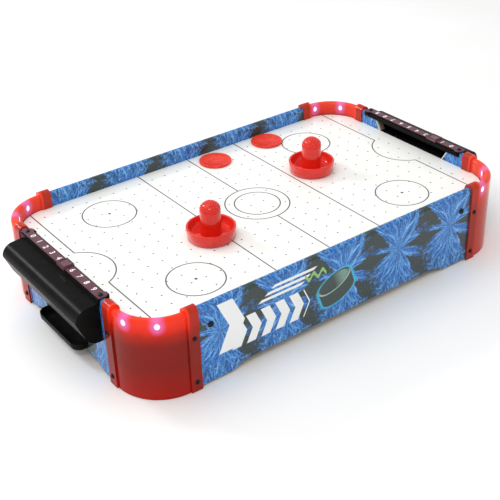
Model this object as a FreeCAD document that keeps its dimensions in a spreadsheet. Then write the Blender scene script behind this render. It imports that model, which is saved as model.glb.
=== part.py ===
import FreeCAD, Part
import math
import os

import Sketcher
from FreeCAD import Placement, Rotation, Vector

# Tabletop air hockey table. Millimetres, +Z up, origin on the supporting surface below the
# middle of the playing field. The long axis is X, and the player at the left end sits at -X.

os.makedirs("parts", exist_ok=True)
doc = FreeCAD.newDocument("air_hockey_table")
sheet = doc.addObject("Spreadsheet::Sheet", "Sheet")

dimensions = {
    # playing field and frame
    "play_length": 494, "play_width": 294, "play_top": 78, "play_thick": 3,
    "board_thick": 9, "board_foot": 2.5, "rim_top": 95.5, "board_gap": 3,
    "arch_top": 9.8, "arch_length": 304, "arch_width": 154, "arch_slope": 5.5, "arch_step": 2.7,
    "arch_bend": 18.5,
    "batten_thick": 12, "batten_tall": 23, "batten_margin": 8, "base_thick": 3,
    "hole_size": 1.6, "hole_step_long": 18.2, "hole_step_wide": 18.4, "hole_columns": 26, "hole_rows": 15,
    # translucent corners
    "corner_radius": 52.5, "shell_wall": 2, "collar_length": 13, "collar_proud": 2, "collar_top": 99,
    "wall_lift": 0.1, "screw_high": 64, "screw_low": 11, "screw_back": 7,
    # goals
    "slot_half": 55.5, "slot_flare": 7, "slot_tall": 11.5, "hood_half": 82, "hood_deep": 27.5,
    "hood_top": 91.4, "hood_base": 46.5, "hood_wall": 2, "cap_half": 84, "cap_wall": 1,
    "skirt_wall": 2, "lip_tall": 5.2,
    "tray_half": 43.6, "tray_deep": 15, "tray_top": 22, "tray_base": 11, "tray_wall": 1.6, "tray_round": 11,
    # score counters
    "strip_half": 84, "strip_base": 0.7, "strip_plate": 0.8, "strip_wide": 10, "strip_neck": 8,
    "ear_inner": 75.5, "ear_wide": 12, "digit_step": 14.7, "slider_length": 15.4, "slider_wall": 1.2,
    "slider_top": 1.6, "slider_gap": 0.1, "strip_screw": 79.3,
    # fan
    "fan_radius": 44, "fan_wall": 2, "fan_low": 24, "fan_flange": 54, "motor_radius": 12, "motor_low": 26,
    "motor_high": 44, "shaft_radius": 1, "shaft_gap": 0.05, "rotor_radius": 42, "hub_radius": 15,
    "rotor_low": 37, "rotor_high": 47.3, "blade_width": 11, "blade_thick": 1.6, "blade_count": 7,
    "grille_thick": 2, "grille_slots": 20,
    # battery box and switch
    "battery_x": 120, "box_long": 68, "box_wide": 66, "box_base": 30.5, "box_wall": 2, "box_plate_long": 86,
    "door_thick": 2, "door_gap": 0.1, "cell_radius": 7.1, "cell_length": 50.5, "cell_pitch": 15.5,
    "switch_x": 184, "switch_long": 20, "switch_wide": 9, "switch_tall": 8, "knob_long": 5, "knob_travel": 5,
    # loose pieces
    "pusher_radius": 27.9, "pusher_foot": 26.9, "pusher_wall": 2.6, "rim_tall": 14.1, "knob_radius": 11.8,
    "knob_side": 34.6, "pusher_tall": 43.5, "felt_thick": 1.5, "air_gap": 0.2, "puck_radius": 20.4,
    "puck_thick": 2.6,
}

for row, (alias, number) in enumerate(dimensions.items(), start=1):
    sheet.set("A%d" % row, alias)
    sheet.set("B%d" % row, str(number))
    sheet.setAlias("B%d" % row, alias)
doc.recompute()


class Size:
    """A number together with the sheet expression that it is worked out by."""

    def __init__(self, number, text=None):
        self.number = float(number)
        self.text = text or "%.6g" % number

    def joined(self, sign, other, number):
        return Size(number, "(%s %s %s)" % (self.text, sign, other.text))

    def __add__(self, other):
        other = size(other)
        return self.joined("+", other, self.number + other.number)

    def __sub__(self, other):
        other = size(other)
        return self.joined("-", other, self.number - other.number)

    def __mul__(self, other):
        other = size(other)
        return self.joined("*", other, self.number * other.number)

    def __truediv__(self, other):
        other = size(other)
        return self.joined("/", other, self.number / other.number)

    def __radd__(self, other):
        return size(other) + self

    def __rsub__(self, other):
        return size(other) - self

    def __rmul__(self, other):
        return size(other) * self

    def __neg__(self):
        return Size(-self.number, "(0 - %s)" % self.text)

    def __float__(self):
        return self.number


def size(value):
    return value if isinstance(value, Size) else Size(value)


class Cells:
    """The sheet's cells as sizes, so that D.play_length is a Size bound to its cell."""

    def __getattr__(self, alias):
        return Size(sheet.get(alias), "Sheet." + alias)


D = Cells()
halfLong = D.play_length / 2
halfWide = D.play_width / 2
outLong = halfLong + D.board_thick
outWide = halfWide + D.board_thick
arcLong = outLong - D.corner_radius
arcWide = outWide - D.corner_radius
playBase = D.play_top - D.play_thick
battenBase = playBase - D.batten_tall
panelBase = battenBase - D.base_thick
stripFloor = D.rim_top + D.cap_wall
stripTop = stripFloor + D.strip_base + D.strip_plate
stripMiddle = -(D.board_thick / 2) + 0.5

LEFT, RIGHT = -1, 1
FRONT, BACK = -1, 1
ENDS = {"left": LEFT, "right": RIGHT}
CORNERS = {"back_right": 0, "back_left": 90, "front_left": 180, "front_right": 270}
nodes = []


def keep(thing, label):
    thing.Label = label
    nodes.append(thing)
    return thing


def bind(thing, path, value):
    thing.setExpression(path, size(value).text)


def put(thing, x=0, y=0, z=0, turn=0):
    """Places a sub-part by sheet expressions, turned about the vertical by whole degrees."""
    thing.Placement = Placement(Vector(0, 0, 0), Rotation(Vector(0, 0, 1), turn))
    for axis, value in (("x", x), ("y", y), ("z", z)):
        bind(thing, ".Placement.Base." + axis, value)


def newBody(name):
    return doc.addObject("PartDesign::Body", name)


def plane(body, role):
    return [feature for feature in body.Origin.OriginFeatures if feature.Role == role][0]


def newSketch(body, role, offset=0):
    sketch = body.newObject("Sketcher::SketchObject", body.Name + "_sketch")
    sketch.AttachmentSupport = [(plane(body, role), "")]
    sketch.MapMode = "FlatFace"
    if float(offset):
        bind(sketch, ".AttachmentOffset.Base.z", offset)
    return sketch


def arcBetween(start, end, radius):
    """The short arc from start to end; a positive radius runs anticlockwise."""
    chord = end - start
    reach = math.sqrt(max(radius ** 2 - (chord.Length / 2) ** 2, 0))
    side = Vector(-chord.y, chord.x, 0).normalize() * (1 if radius > 0 else -1)
    centre = (start + end) / 2 + side * reach
    first, last = (start, end) if radius > 0 else (end, start)
    angles = [math.atan2(point.y - centre.y, point.x - centre.x) for point in (first, last)]
    circle = Part.Circle(centre, Vector(0, 0, 1), abs(radius))
    return Part.ArcOfCircle(circle, angles[0], angles[1])


def outline(body, role, points, arcs=None, offset=0):
    """A closed sketch through points, each held by its two coordinates, with arcs by start index."""
    sketch = newSketch(body, role, offset)
    arcs = arcs or {}
    corners = [Vector(float(x), float(y), 0) for x, y in points]
    count = len(points)
    ends = []
    for index in range(count):
        start, end = corners[index], corners[(index + 1) % count]
        if index in arcs:
            sketch.addGeometry(arcBetween(start, end, float(arcs[index])), False)
            ends.append((1, 2) if float(arcs[index]) > 0 else (2, 1))
        else:
            sketch.addGeometry(Part.LineSegment(start, end), False)
            ends.append((1, 2))
    for index in range(count):
        following = (index + 1) % count
        sketch.addConstraint(Sketcher.Constraint(
            "Coincident", index, ends[index][1], following, ends[following][0]))
    for index, (x, y) in enumerate(points):
        for kind, value in (("DistanceX", x), ("DistanceY", y)):
            number = sketch.addConstraint(Sketcher.Constraint(kind, index, ends[index][0], float(value)))
            if isinstance(value, Size):
                bind(sketch, "Constraints[%d]" % number, value)
    for index, radius in arcs.items():
        number = sketch.addConstraint(Sketcher.Constraint("Radius", index, abs(float(radius))))
        if isinstance(radius, Size):
            bind(sketch, "Constraints[%d]" % number, radius if float(radius) > 0 else -radius)
    return sketch


def rectangle(body, role, low, high, offset=0):
    points = [(low[0], low[1]), (high[0], low[1]), (high[0], high[1]), (low[0], high[1])]
    return outline(body, role, points, offset=offset)


def circles(body, role, centres, radius, offset=0):
    sketch = newSketch(body, role, offset)
    for index, (x, y) in enumerate(centres):
        middle = Vector(float(x), float(y), 0)
        sketch.addGeometry(Part.Circle(middle, Vector(0, 0, 1), float(radius)), False)
        for kind, value in (("DistanceX", x), ("DistanceY", y)):
            number = sketch.addConstraint(Sketcher.Constraint(kind, index, 3, float(value)))
            if isinstance(value, Size):
                bind(sketch, "Constraints[%d]" % number, value)
        number = sketch.addConstraint(Sketcher.Constraint("Radius", index, float(radius)))
        if isinstance(radius, Size):
            bind(sketch, "Constraints[%d]" % number, radius)
    return sketch


def pad(body, sketch, length, middle=False, back=False):
    feature = body.newObject("PartDesign::Pad", body.Name + "_pad")
    feature.Profile = sketch
    bind(feature, "Length", length)
    feature.Midplane = middle
    feature.Reversed = back
    return feature


def pocket(body, sketch, length, middle=False, back=False):
    """Cuts along the sketch's normal reversed, or along it when back is set."""
    feature = body.newObject("PartDesign::Pocket", body.Name + "_pocket")
    feature.Profile = sketch
    bind(feature, "Length", length)
    feature.Midplane = middle
    feature.Reversed = back
    return feature


def revolve(body, sketch, angle=360, middle=False):
    feature = body.newObject("PartDesign::Revolution", body.Name + "_turn")
    feature.Profile = sketch
    feature.ReferenceAxis = (plane(body, "Z_Axis"), [""])
    feature.Angle = angle
    feature.Midplane = middle
    return feature


def rounded(body, radius, wanted):
    """Rounds the edges of the body's tip whose middle point passes the test."""
    doc.recompute()
    tip = body.Tip
    names = ["Edge%d" % number for number, edge in enumerate(tip.Shape.Edges, start=1) if wanted(edge)]
    feature = body.newObject("PartDesign::Fillet", body.Name + "_round")
    feature.Base = (tip, names)
    bind(feature, "Radius", radius)
    return feature


def upright(edge):
    return abs(edge.tangentAt(edge.FirstParameter).z) > 0.99 and len(edge.Vertexes) == 2


def block(label, low, high):
    """A plain board given by its lowest and highest corners."""
    box = doc.addObject("Part::Box", label)
    for name, first, last in zip(("Length", "Width", "Height"), low, high):
        bind(box, name, last - first)
    put(box, *low)
    return box


def drilled(thing, holes, label):
    """Cuts round holes from a sub-part; each is its start, its direction, its radius and its depth."""
    tools = [Part.makeCylinder(float(radius), float(depth), at(*start), Vector(*way))
             for start, way, radius, depth in holes]
    drill = doc.addObject("Part::Feature", label + "_drill")
    drill.Shape = Part.makeCompound(tools)
    cut = doc.addObject("Part::Cut", label + "_cut")
    cut.Base = thing
    cut.Tool = drill
    return cut


def at(x, y, z):
    return Vector(float(x), float(y), float(z))


def panHead(start, way, length, shank=1.4, head=2.7):
    """A pan-head screw whose head stands on the point start and whose shank runs along way."""
    screw = Part.makeCylinder(shank, length, Vector(0, 0, 0), Vector(0, 0, -1))
    edge = math.degrees(math.asin(0.75))
    dome = Part.makeSphere(head * 4 / 3, Vector(0, 0, 0.8 - head), Vector(0, 0, 1), edge, 90)
    crown = Part.makeCylinder(head, 0.8).fuse(dome)
    crown = crown.common(Part.makeCylinder(head, 2))
    screw = screw.fuse(crown).removeSplitter()
    for turn in (0, 90):
        slot = Part.makeBox(2.6, 0.6, 1.2, Vector(-1.3, -0.3, 0.9))
        slot.rotate(Vector(0, 0, 0), Vector(0, 0, 1), turn)
        screw = screw.cut(slot)
    screw.Placement = Placement(start, Rotation(Vector(0, 0, -1), Vector(*way)))
    return screw


def group(label, solids):
    feature = doc.addObject("Part::Feature", label)
    feature.Shape = Part.makeCompound(solids)
    return keep(feature, label)


def tube(points, radius, bend):
    """A round lead along straight runs joined by tangent arcs."""
    corners = [at(*point) for point in points]
    edges = []
    last = corners[0]
    for before, corner, after in zip(corners, corners[1:], corners[2:]):
        inward = (before - corner).normalize()
        outward = (after - corner).normalize()
        half = inward.getAngle(outward) / 2
        reach = bend / math.tan(half)
        start, end = corner + inward * reach, corner + outward * reach
        centre = corner + (inward + outward).normalize() * (bend / math.sin(half))
        middle = centre + (corner - centre).normalize() * bend
        edges.append(Part.LineSegment(last, start).toShape())
        edges.append(Part.Arc(start, middle, end).toShape())
        last = end
    edges.append(Part.LineSegment(last, corners[-1]).toShape())
    path = Part.Wire(edges)
    ring = Part.Wire([Part.makeCircle(radius, corners[0], corners[1] - corners[0])])
    return path.makePipeShell([ring], True, True)


# ---- frame: playing field, boards, battens and base panel

def playfield():
    body = newBody("playfield_board")
    clearance = 0.1
    pad(body, rectangle(body, "XY_Plane", (clearance - halfLong, clearance - halfWide),
                        (halfLong - clearance, halfWide - clearance), playBase), D.play_thick)
    rounded(body, D.corner_radius - D.board_thick + 1.5, upright)
    firstX = D.hole_step_long * (1 - D.hole_columns) / 2
    firstY = D.hole_step_wide * (1 - D.hole_rows) / 2
    seed = circles(body, "XY_Plane", [(firstX, firstY)], D.hole_size / 2, D.play_top)
    hole = pocket(body, seed, D.play_thick)
    grid = body.newObject("PartDesign::MultiTransform", "air_holes")
    grid.Originals = [hole]
    runs = []
    for axis, step, count in (("H_Axis", D.hole_step_long, D.hole_columns),
                              ("V_Axis", D.hole_step_wide, D.hole_rows)):
        run = doc.addObject("PartDesign::LinearPattern", "air_holes_" + axis[0].lower())
        body.addObject(run)
        run.Direction = (seed, [axis])
        bind(run, "Length", step * (count - 1))
        bind(run, "Occurrences", count)
        runs.append(run)
    grid.Transformations = runs
    body.Tip = grid
    return keep(body, "playfield_board")


def boardBody(name, halfLength, archLength):
    """A board along X whose inner face is at y = 0, with a bullnose top and a raised middle below."""
    body = newBody(name)
    nose = D.board_thick / 2
    crown = D.rim_top - nose
    section = outline(body, "YZ_Plane", [(0, D.board_foot), (D.board_thick, D.board_foot),
                                         (D.board_thick, crown), (nose, D.rim_top), (0, crown)],
                      {2: nose, 3: nose})
    pad(body, section, halfLength * 2, middle=True)
    half = archLength / 2
    knee = half - D.arch_slope
    flat = knee - D.arch_bend
    kneeTop = D.board_foot + D.arch_step
    drop = D.arch_top - kneeTop
    bend = (D.arch_bend * D.arch_bend + drop * drop) / (drop * 2)
    arch = outline(body, "XZ_Plane", [(-half, 0), (half, 0), (half, D.board_foot), (knee, kneeTop),
                                      (flat, D.arch_top), (-flat, D.arch_top), (-knee, kneeTop),
                                      (-half, D.board_foot)], {3: bend, 5: bend})
    pocket(body, arch, D.board_thick * 2.5, middle=True)
    return body


def flangeHoles(halfLength):
    """Pilot holes in a board for the screws through the corner flanges, on the outer face."""
    reach = arcLong - D.screw_back if halfLength is halfBoardLong else arcWide - D.screw_back
    return [((side * reach, D.board_thick, height), (0, -1, 0), 1.4, 8)
            for side in (LEFT, RIGHT) for height in (D.screw_high, D.screw_low)]


halfBoardLong = arcLong - D.board_gap
halfBoardWide = arcWide - D.board_gap
panelScrewX = 176
panelScrewZ = playBase - 3.5


def sideBoards():
    for name, side in (("side_board_front", FRONT), ("side_board_back", BACK)):
        body = boardBody(name + "_body", halfBoardLong, D.arch_length)
        holes = flangeHoles(halfBoardLong)
        holes += [((end * panelScrewX, D.board_thick, panelScrewZ), (0, -1, 0), 1.4, 9)
                  for end in (LEFT, RIGHT)]
        board = drilled(body, holes, name)
        put(board, 0, halfWide * side, 0, 0 if side == BACK else 180)
        keep(board, name)


def endBoards():
    for name, side in ENDS.items():
        body = boardBody("end_board_%s_body" % name, halfBoardWide, D.arch_width)
        wide = D.slot_half + D.slot_flare
        tall = D.play_top + D.slot_tall
        notch = outline(body, "XZ_Plane", [(-D.slot_half, D.play_top - 0.2), (D.slot_half, D.play_top - 0.2),
                                           (wide, tall), (wide, D.rim_top + 1), (-wide, D.rim_top + 1),
                                           (-wide, tall)])
        pocket(body, notch, D.board_thick * 2.5, middle=True)
        holes = flangeHoles(halfBoardWide)
        holes += [((turn * D.strip_screw, D.board_thick + stripMiddle, D.rim_top), (0, 0, -1), 1.4, 12)
                  for turn in (LEFT, RIGHT)]
        holes += [((turn * 25, D.board_thick, 34), (0, -1, 0), 1.4, 6) for turn in (LEFT, RIGHT)]
        board = drilled(body, holes, "end_board_" + name)
        put(board, halfLong * side, 0, 0, -90 if side == RIGHT else 90)
        keep(board, "end_board_" + name)


baseScrewX = (-180, -90, 0, 90, 180)
baseScrewY = (-60, 60)


def battenScrews():
    places = [(x, side * (halfWide - D.batten_thick / 2)) for side in (FRONT, BACK) for x in baseScrewX]
    places += [(side * (halfLong - D.batten_thick / 2), y) for side in (LEFT, RIGHT) for y in baseScrewY]
    return places


def battens():
    top = battenBase + D.batten_tall
    for name, side in (("batten_front", FRONT), ("batten_back", BACK)):
        near, far = sorted((halfWide * side, (halfWide - D.batten_thick) * side), key=float)
        reach = arcLong - D.batten_margin
        bar = block(name + "_bar", (-reach, near, battenBase), (reach, far, top))
        holes = [((x, side * (halfWide - D.batten_thick / 2), battenBase), (0, 0, 1), 1.4, 10)
                 for x in baseScrewX]
        holes += [((end * panelScrewX, halfWide * side, panelScrewZ), (0, -side, 0), 1.4, 8)
                  for end in (LEFT, RIGHT)]
        keep(drilled(bar, holes, name), name)
    for name, side in ENDS.items():
        near, far = sorted((halfLong * side, (halfLong - D.batten_thick) * side), key=float)
        reach = arcWide - D.batten_margin
        bar = block("batten_%s_bar" % name, (near, -reach, battenBase), (far, reach, top))
        holes = [((side * (halfLong - D.batten_thick / 2), y, battenBase), (0, 0, 1), 1.4, 10)
                 for y in baseScrewY]
        keep(drilled(bar, holes, "batten_" + name), "batten_" + name)


leadHoles = [(side * 8, turn * 42) for side in (LEFT, RIGHT) for turn in (FRONT, BACK)]
fanScrews = [(50 * math.cos(math.radians(45 + 90 * k)), 50 * math.sin(math.radians(45 + 90 * k)))
             for k in range(4)]
boxScrews = [(D.battery_x + side * 39, turn * 28) for side in (LEFT, RIGHT) for turn in (FRONT, BACK)]
switchScrews = [(D.switch_x + side * 13, 0) for side in (LEFT, RIGHT)]


def basePanel():
    body = newBody("base_panel_body")
    clearance = 0.2
    pad(body, rectangle(body, "XY_Plane", (clearance - halfLong, clearance - halfWide),
                        (halfLong - clearance, halfWide - clearance), panelBase), D.base_thick)
    rounded(body, D.corner_radius - D.board_thick + 1.5, upright)
    opening = circles(body, "XY_Plane", [(0, 0)], D.fan_radius, panelBase + D.base_thick)
    pocket(body, opening, D.base_thick)
    holes = [((x, y, panelBase), (0, 0, 1), 1.4, D.base_thick)
             for x, y in battenScrews() + fanScrews + boxScrews + switchScrews]
    holes += [((D.battery_x + x, y, panelBase), (0, 0, 1), 1.8, D.base_thick) for x, y in leadHoles]
    keep(drilled(body, holes, "base_panel"), "base_panel")


# ---- translucent corners and their lights

def cornerShell(name, turn):
    """Arc about the local origin from +X to +Y, with a collar over a board end on each side."""
    body = newBody("corner_%s_body" % name)
    outer = D.corner_radius
    inner = outer - D.board_thick
    nose = D.board_thick / 2
    crown = D.rim_top - nose
    wall = D.shell_wall
    floor = D.play_top + D.wall_lift

    def hoodSection(role, grow, hollow):
        """A hood over a board: how far it stands proud of the board, and where its hollow begins."""
        high, low = outer - hollow, inner + hollow
        bow, inside = nose + grow, nose - hollow
        top = D.rim_top + (D.collar_top - D.rim_top if float(grow) else 0)
        middle = (outer + inner) / 2
        points = [(high, 0), (outer + grow, 0), (outer + grow, top - bow), (middle, top),
                  (inner - grow, top - bow), (inner - grow, floor), (low, floor), (low, crown),
                  (middle, crown + inside), (high, crown)]
        return outline(body, role, points, {2: bow, 3: bow, 7: -inside, 8: -inside})

    revolve(body, hoodSection("XZ_Plane", size(0), wall), 90)
    grow = D.collar_proud
    for role, mirrored in (("XZ_Plane", False), ("YZ_Plane", True)):
        pad(body, hoodSection(role, grow, wall), D.board_gap, back=mirrored)
        pad(body, hoodSection(role, grow, size(-0.05)), D.collar_length, back=mirrored)
    for role, mirrored in (("YZ_Plane", True), ("XZ_Plane", False)):
        side = -D.screw_back
        sketch = circles(body, role, [(side, D.screw_high), (side, D.screw_low)], 1.5,
                         outer + grow + 1 if mirrored else -(outer + grow + 1))
        pocket(body, sketch, grow + 2, back=not mirrored)
    put(body, arcLong * (1 if turn in (0, 270) else -1), arcWide * (1 if turn in (0, 90) else -1), 0, turn)
    keep(body, "corner_shell_" + name)


lampAngles = {"back_right": (33, 80), "back_left": (25, 59), "front_left": (20, 58), "front_right": (7, 56)}


def lightBoard(name, turn):
    """A curved circuit board in the hollow of a corner, with two lamps standing on it."""
    body = newBody("led_board_%s_body" % name)
    inner = D.corner_radius - D.board_thick + D.shell_wall
    outer = D.corner_radius - D.shell_wall
    low = D.play_top + 4
    revolve(body, rectangle(body, "XZ_Plane", (inner, low), (outer, low + 1.2)), 80, middle=True)
    x = arcLong * (1 if turn in (0, 270) else -1)
    y = arcWide * (1 if turn in (0, 90) else -1)
    put(body, x, y, 0, turn + 45)
    keep(body, "led_board_" + name)
    lamps = []
    radius = float(inner + outer) / 2
    for angle in lampAngles[name]:
        way = math.radians(turn + angle)
        foot = at(x, y, low + 1.2) + Vector(math.cos(way), math.sin(way), 0) * radius
        lamp = Part.makeCylinder(1.5, 3, foot).fuse(Part.makeSphere(1.5, foot + Vector(0, 0, 3)))
        lamps.append(lamp.fuse(Part.makeCylinder(1.8, 0.8, foot)).removeSplitter())
    group("led_lamps_" + name, lamps)


# ---- goals: housing, puck tray, score strip and slider; each is drawn outwards from the board's face

def goalPlace(thing, side):
    put(thing, outLong * side, 0, 0, 0 if side == RIGHT else 180)


def hoodOutline(wall):
    """Side view of the hood, inset by its wall: flat top, round shoulder, leaning face, round foot."""
    deep = D.hood_deep - wall
    return [(-wall, D.hood_base + wall), (7.5 - wall / 2, D.hood_base + wall), (deep - 8, D.hood_base + 11),
            (deep, D.play_top - 1), (15.5 - wall / 2, D.hood_top - 1.2 - wall), (-wall, D.hood_top - wall)]


def goalHousing(name, side):
    body = newBody("goal_housing_%s_body" % name)
    shoulder, foot = size(14), size(18)
    none = size(0)
    outside = outline(body, "XZ_Plane", hoodOutline(none), {3: shoulder, 1: foot})
    pad(body, outside, D.hood_half * 2, middle=True)
    inside = outline(body, "XZ_Plane", hoodOutline(D.hood_wall),
                     {3: shoulder - D.hood_wall, 1: foot - D.hood_wall})
    pocket(body, inside, (D.hood_half - D.hood_wall) * 2, middle=True)
    mouth = rectangle(body, "XY_Plane", (-1, 0.6 - D.tray_half), (D.hood_deep - 15, D.tray_half - 0.6),
                      D.hood_base + 5)
    pocket(body, mouth, 9)
    skirt = D.play_top + D.slot_tall
    back = -D.board_thick
    lip = back - D.skirt_wall
    lipFoot = stripFloor - D.lip_tall
    cap = [(0, skirt), (2.2, skirt), (2.2, stripFloor), (lip, stripFloor), (lip, lipFoot), (back, lipFoot),
           (back, D.rim_top), (0, D.rim_top)]
    pad(body, outline(body, "XZ_Plane", cap), D.cap_half * 2, middle=True)
    bend = size(3)
    for turn in (LEFT, RIGHT):
        tab = outline(body, "XY_Plane", [(back, D.ear_inner * turn), (back, D.cap_half * turn),
                                         (lip - 1.5 + bend, D.cap_half * turn),
                                         (lip - 1.5, (D.cap_half - bend) * turn),
                                         (lip - 1.5, D.ear_inner * turn)], {2: bend * turn}, stripFloor - 3)
        pad(body, tab, 3)
    screws = circles(body, "XY_Plane", [(stripMiddle, D.strip_screw), (stripMiddle, -D.strip_screw)], 1.5,
                     stripFloor)
    pocket(body, screws, 2)
    goalPlace(body, side)
    keep(body, "goal_housing_" + name)


def puckTray(name, side):
    """A scoop with rounded ends, open at the top, on a plate against the board."""
    body = newBody("puck_tray_%s_body" % name)
    half, deep = D.tray_half, D.tray_deep
    corner = D.tray_round
    pad(body, outline(body, "XY_Plane", [(0, -half), (deep - corner, -half), (deep, corner - half),
                                         (deep, half - corner), (deep - corner, half), (0, half)],
                      {1: corner, 3: corner}, D.tray_base), D.tray_top - D.tray_base)
    rounded(body, 7, lambda edge: edge.BoundBox.ZMax < float(D.tray_base) + 0.01
            and edge.BoundBox.XMax > 4)
    wall = D.tray_wall
    inner = corner - wall
    pocket(body, outline(body, "XY_Plane", [(wall, wall - half), (deep - corner, wall - half),
                                            (deep - wall, corner - half), (deep - wall, half - corner),
                                            (deep - corner, half - wall), (wall, half - wall)],
                         {1: inner, 3: inner}, D.tray_top), D.tray_top - D.tray_base - 5)
    plate = rectangle(body, "XY_Plane", (0, -half), (wall, half), D.tray_top - 1)
    pad(body, plate, D.hood_base - D.tray_top + 1)
    holes = circles(body, "YZ_Plane", [(25, 34), (-25, 34)], 1.5, wall)
    pocket(body, holes, wall)
    goalPlace(body, side)
    keep(body, "puck_tray_" + name)


def scoreStrip(name, side):
    """A printed strip on a narrower neck, with a wider ear and a screw at each end."""
    body = newBody("score_strip_%s_body" % name)
    half, ear = D.strip_half, D.ear_inner
    out = stripMiddle + D.strip_wide / 2
    into = stripMiddle - D.strip_wide / 2
    deepest = out - D.ear_wide
    bend = size(4)
    ears = [(out, -half), (out, half), (deepest + bend, half), (deepest, half - bend), (deepest, ear + 1.5),
            (into, ear), (into, -ear), (deepest, -ear - 1.5), (deepest, bend - half), (deepest + bend, -half)]
    pad(body, outline(body, "XY_Plane", ears, {2: bend, 8: bend}, stripFloor + D.strip_base), D.strip_plate)
    neck = D.strip_neck / 2
    low, high = (stripMiddle - neck, -half), (stripMiddle + neck, half)
    pad(body, rectangle(body, "XY_Plane", low, high, stripFloor), D.strip_base)
    screws = circles(body, "XY_Plane", [(stripMiddle, D.strip_screw), (stripMiddle, -D.strip_screw)], 1.5,
                     stripTop)
    pocket(body, screws, 2)
    goalPlace(body, side)
    keep(body, "score_strip_" + name)


def digitPlace(digit):
    return D.digit_step * (digit - 4.5)


def scoreSlider(name, side, digit):
    """A clip that straddles the strip and hooks under both of its edges."""
    body = newBody("score_slider_%s_body" % name)
    gap, wall = D.slider_gap, D.slider_wall
    halfPlate, halfNeck = D.strip_wide / 2, D.strip_neck / 2
    leg = halfPlate + gap
    low, hook, top = stripFloor + gap, stripFloor + D.strip_base - gap, stripTop + gap
    right = [(stripMiddle + halfNeck + gap * 2, low), (stripMiddle + leg + wall, low),
             (stripMiddle + leg + wall, top + D.slider_top)]
    left = [(stripMiddle - leg - wall, top + D.slider_top), (stripMiddle - leg - wall, low),
            (stripMiddle - halfNeck - gap * 2, low), (stripMiddle - halfNeck - gap * 2, hook),
            (stripMiddle - leg, hook), (stripMiddle - leg, top)]
    inside = [(stripMiddle + leg, top), (stripMiddle + leg, hook), (stripMiddle + halfNeck + gap * 2, hook)]
    pad(body, outline(body, "XZ_Plane", right + left + inside), D.slider_length, middle=True)
    put(body, outLong * side, digitPlace(digit) * side, 0, 0 if side == RIGHT else 180)
    keep(body, "score_slider_" + name)


# ---- fan

def fanHousing():
    body = newBody("fan_housing_body")
    radius, wall = D.fan_radius, D.fan_wall
    low = D.fan_low
    revolve(body, outline(body, "XZ_Plane", [(radius - 8, low), (radius + wall, low),
                                             (radius + wall, panelBase - 2), (D.fan_flange, panelBase - 2),
                                             (D.fan_flange, panelBase),
                                             (radius, panelBase), (radius, low + 2), (radius - 8, low + 2)]))
    cup = D.motor_radius
    revolve(body, outline(body, "XZ_Plane", [(0, low), (cup + 2, low), (cup + 2, low + 10), (cup, low + 10),
                                             (cup, low + 2), (0, low + 2)]))
    arm = rectangle(body, "YZ_Plane", (-3, low), (3, low + 3), cup + 1)
    spoke = pad(body, arm, radius - cup - 1)
    doc.recompute()
    spokes = body.newObject("PartDesign::PolarPattern", "fan_spokes")
    spokes.Originals = [spoke]
    spokes.Axis = (plane(body, "Z_Axis"), [""])
    spokes.Angle = 360
    spokes.Occurrences = 3
    body.Tip = spokes
    holes = [((x, y, panelBase), (0, 0, -1), 1.5, 2) for x, y in fanScrews]
    holes.append(((radius - 1, 0, low + 6), (1, 0, 0), 1.4, 4))
    keep(drilled(body, holes, "fan_housing"), "fan_housing")


def fanGrille():
    body = newBody("fan_grille_body")
    top = D.fan_low
    disc = circles(body, "XY_Plane", [(0, 0)], D.fan_radius + D.fan_wall, top - D.grille_thick)
    pad(body, disc, D.grille_thick)
    slot = rectangle(body, "XY_Plane", (14, -1.5), (34, 1.5), top)
    cut = pocket(body, slot, D.grille_thick)
    doc.recompute()
    slots = body.newObject("PartDesign::PolarPattern", "grille_slots")
    slots.Originals = [cut]
    slots.Axis = (plane(body, "Z_Axis"), [""])
    slots.Angle = 360
    bind(slots, "Occurrences", D.grille_slots)
    body.Tip = slots
    keep(body, "fan_grille")


def fanMotor():
    body = newBody("fan_motor_body")
    bore = D.shaft_radius + D.shaft_gap
    radius = D.motor_radius
    revolve(body, outline(body, "XZ_Plane", [(bore, D.motor_low + 2), (bore, D.motor_high + 1.5),
                                             (3, D.motor_high + 1.5), (3, D.motor_high),
                                             (radius, D.motor_high), (radius, D.motor_low),
                                             (0, D.motor_low), (0, D.motor_low + 2)]))
    keep(body, "fan_motor")
    shaft = doc.addObject("Part::Cylinder", "fan_shaft")
    bind(shaft, "Radius", D.shaft_radius)
    bind(shaft, "Height", D.rotor_high + 0.7 - D.motor_low - 2.3)
    put(shaft, 0, 0, D.motor_low + 2.3)
    keep(shaft, "fan_shaft")


def fanRotor():
    body = newBody("fan_impeller_body")
    hub, low, high = D.hub_radius, D.rotor_low, D.rotor_high
    revolve(body, outline(body, "XZ_Plane", [(D.shaft_radius, high - 1.5), (hub - 2, high - 1.5),
                                             (hub - 2, low), (hub, low), (hub, high),
                                             (D.shaft_radius, high)]))
    half = D.blade_width / 2
    middle = (low + high) / 2
    rise = (high - low) / 2 - 0.3
    bladeFace = [(-half, middle - rise), (D.blade_thick - half, middle - rise), (half, middle + rise),
                 (half - D.blade_thick, middle + rise)]
    blade = pad(body, outline(body, "YZ_Plane", bladeFace, offset=hub - 1), D.rotor_radius - hub + 1)
    doc.recompute()
    blades = body.newObject("PartDesign::PolarPattern", "impeller_blades")
    blades.Originals = [blade]
    blades.Axis = (plane(body, "Z_Axis"), [""])
    blades.Angle = 360
    bind(blades, "Occurrences", D.blade_count)
    body.Tip = blades
    keep(body, "fan_impeller")


# ---- batteries and switch

def cellRows():
    return [(k - 1.5) * float(D.cell_pitch) for k in range(4)]


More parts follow.
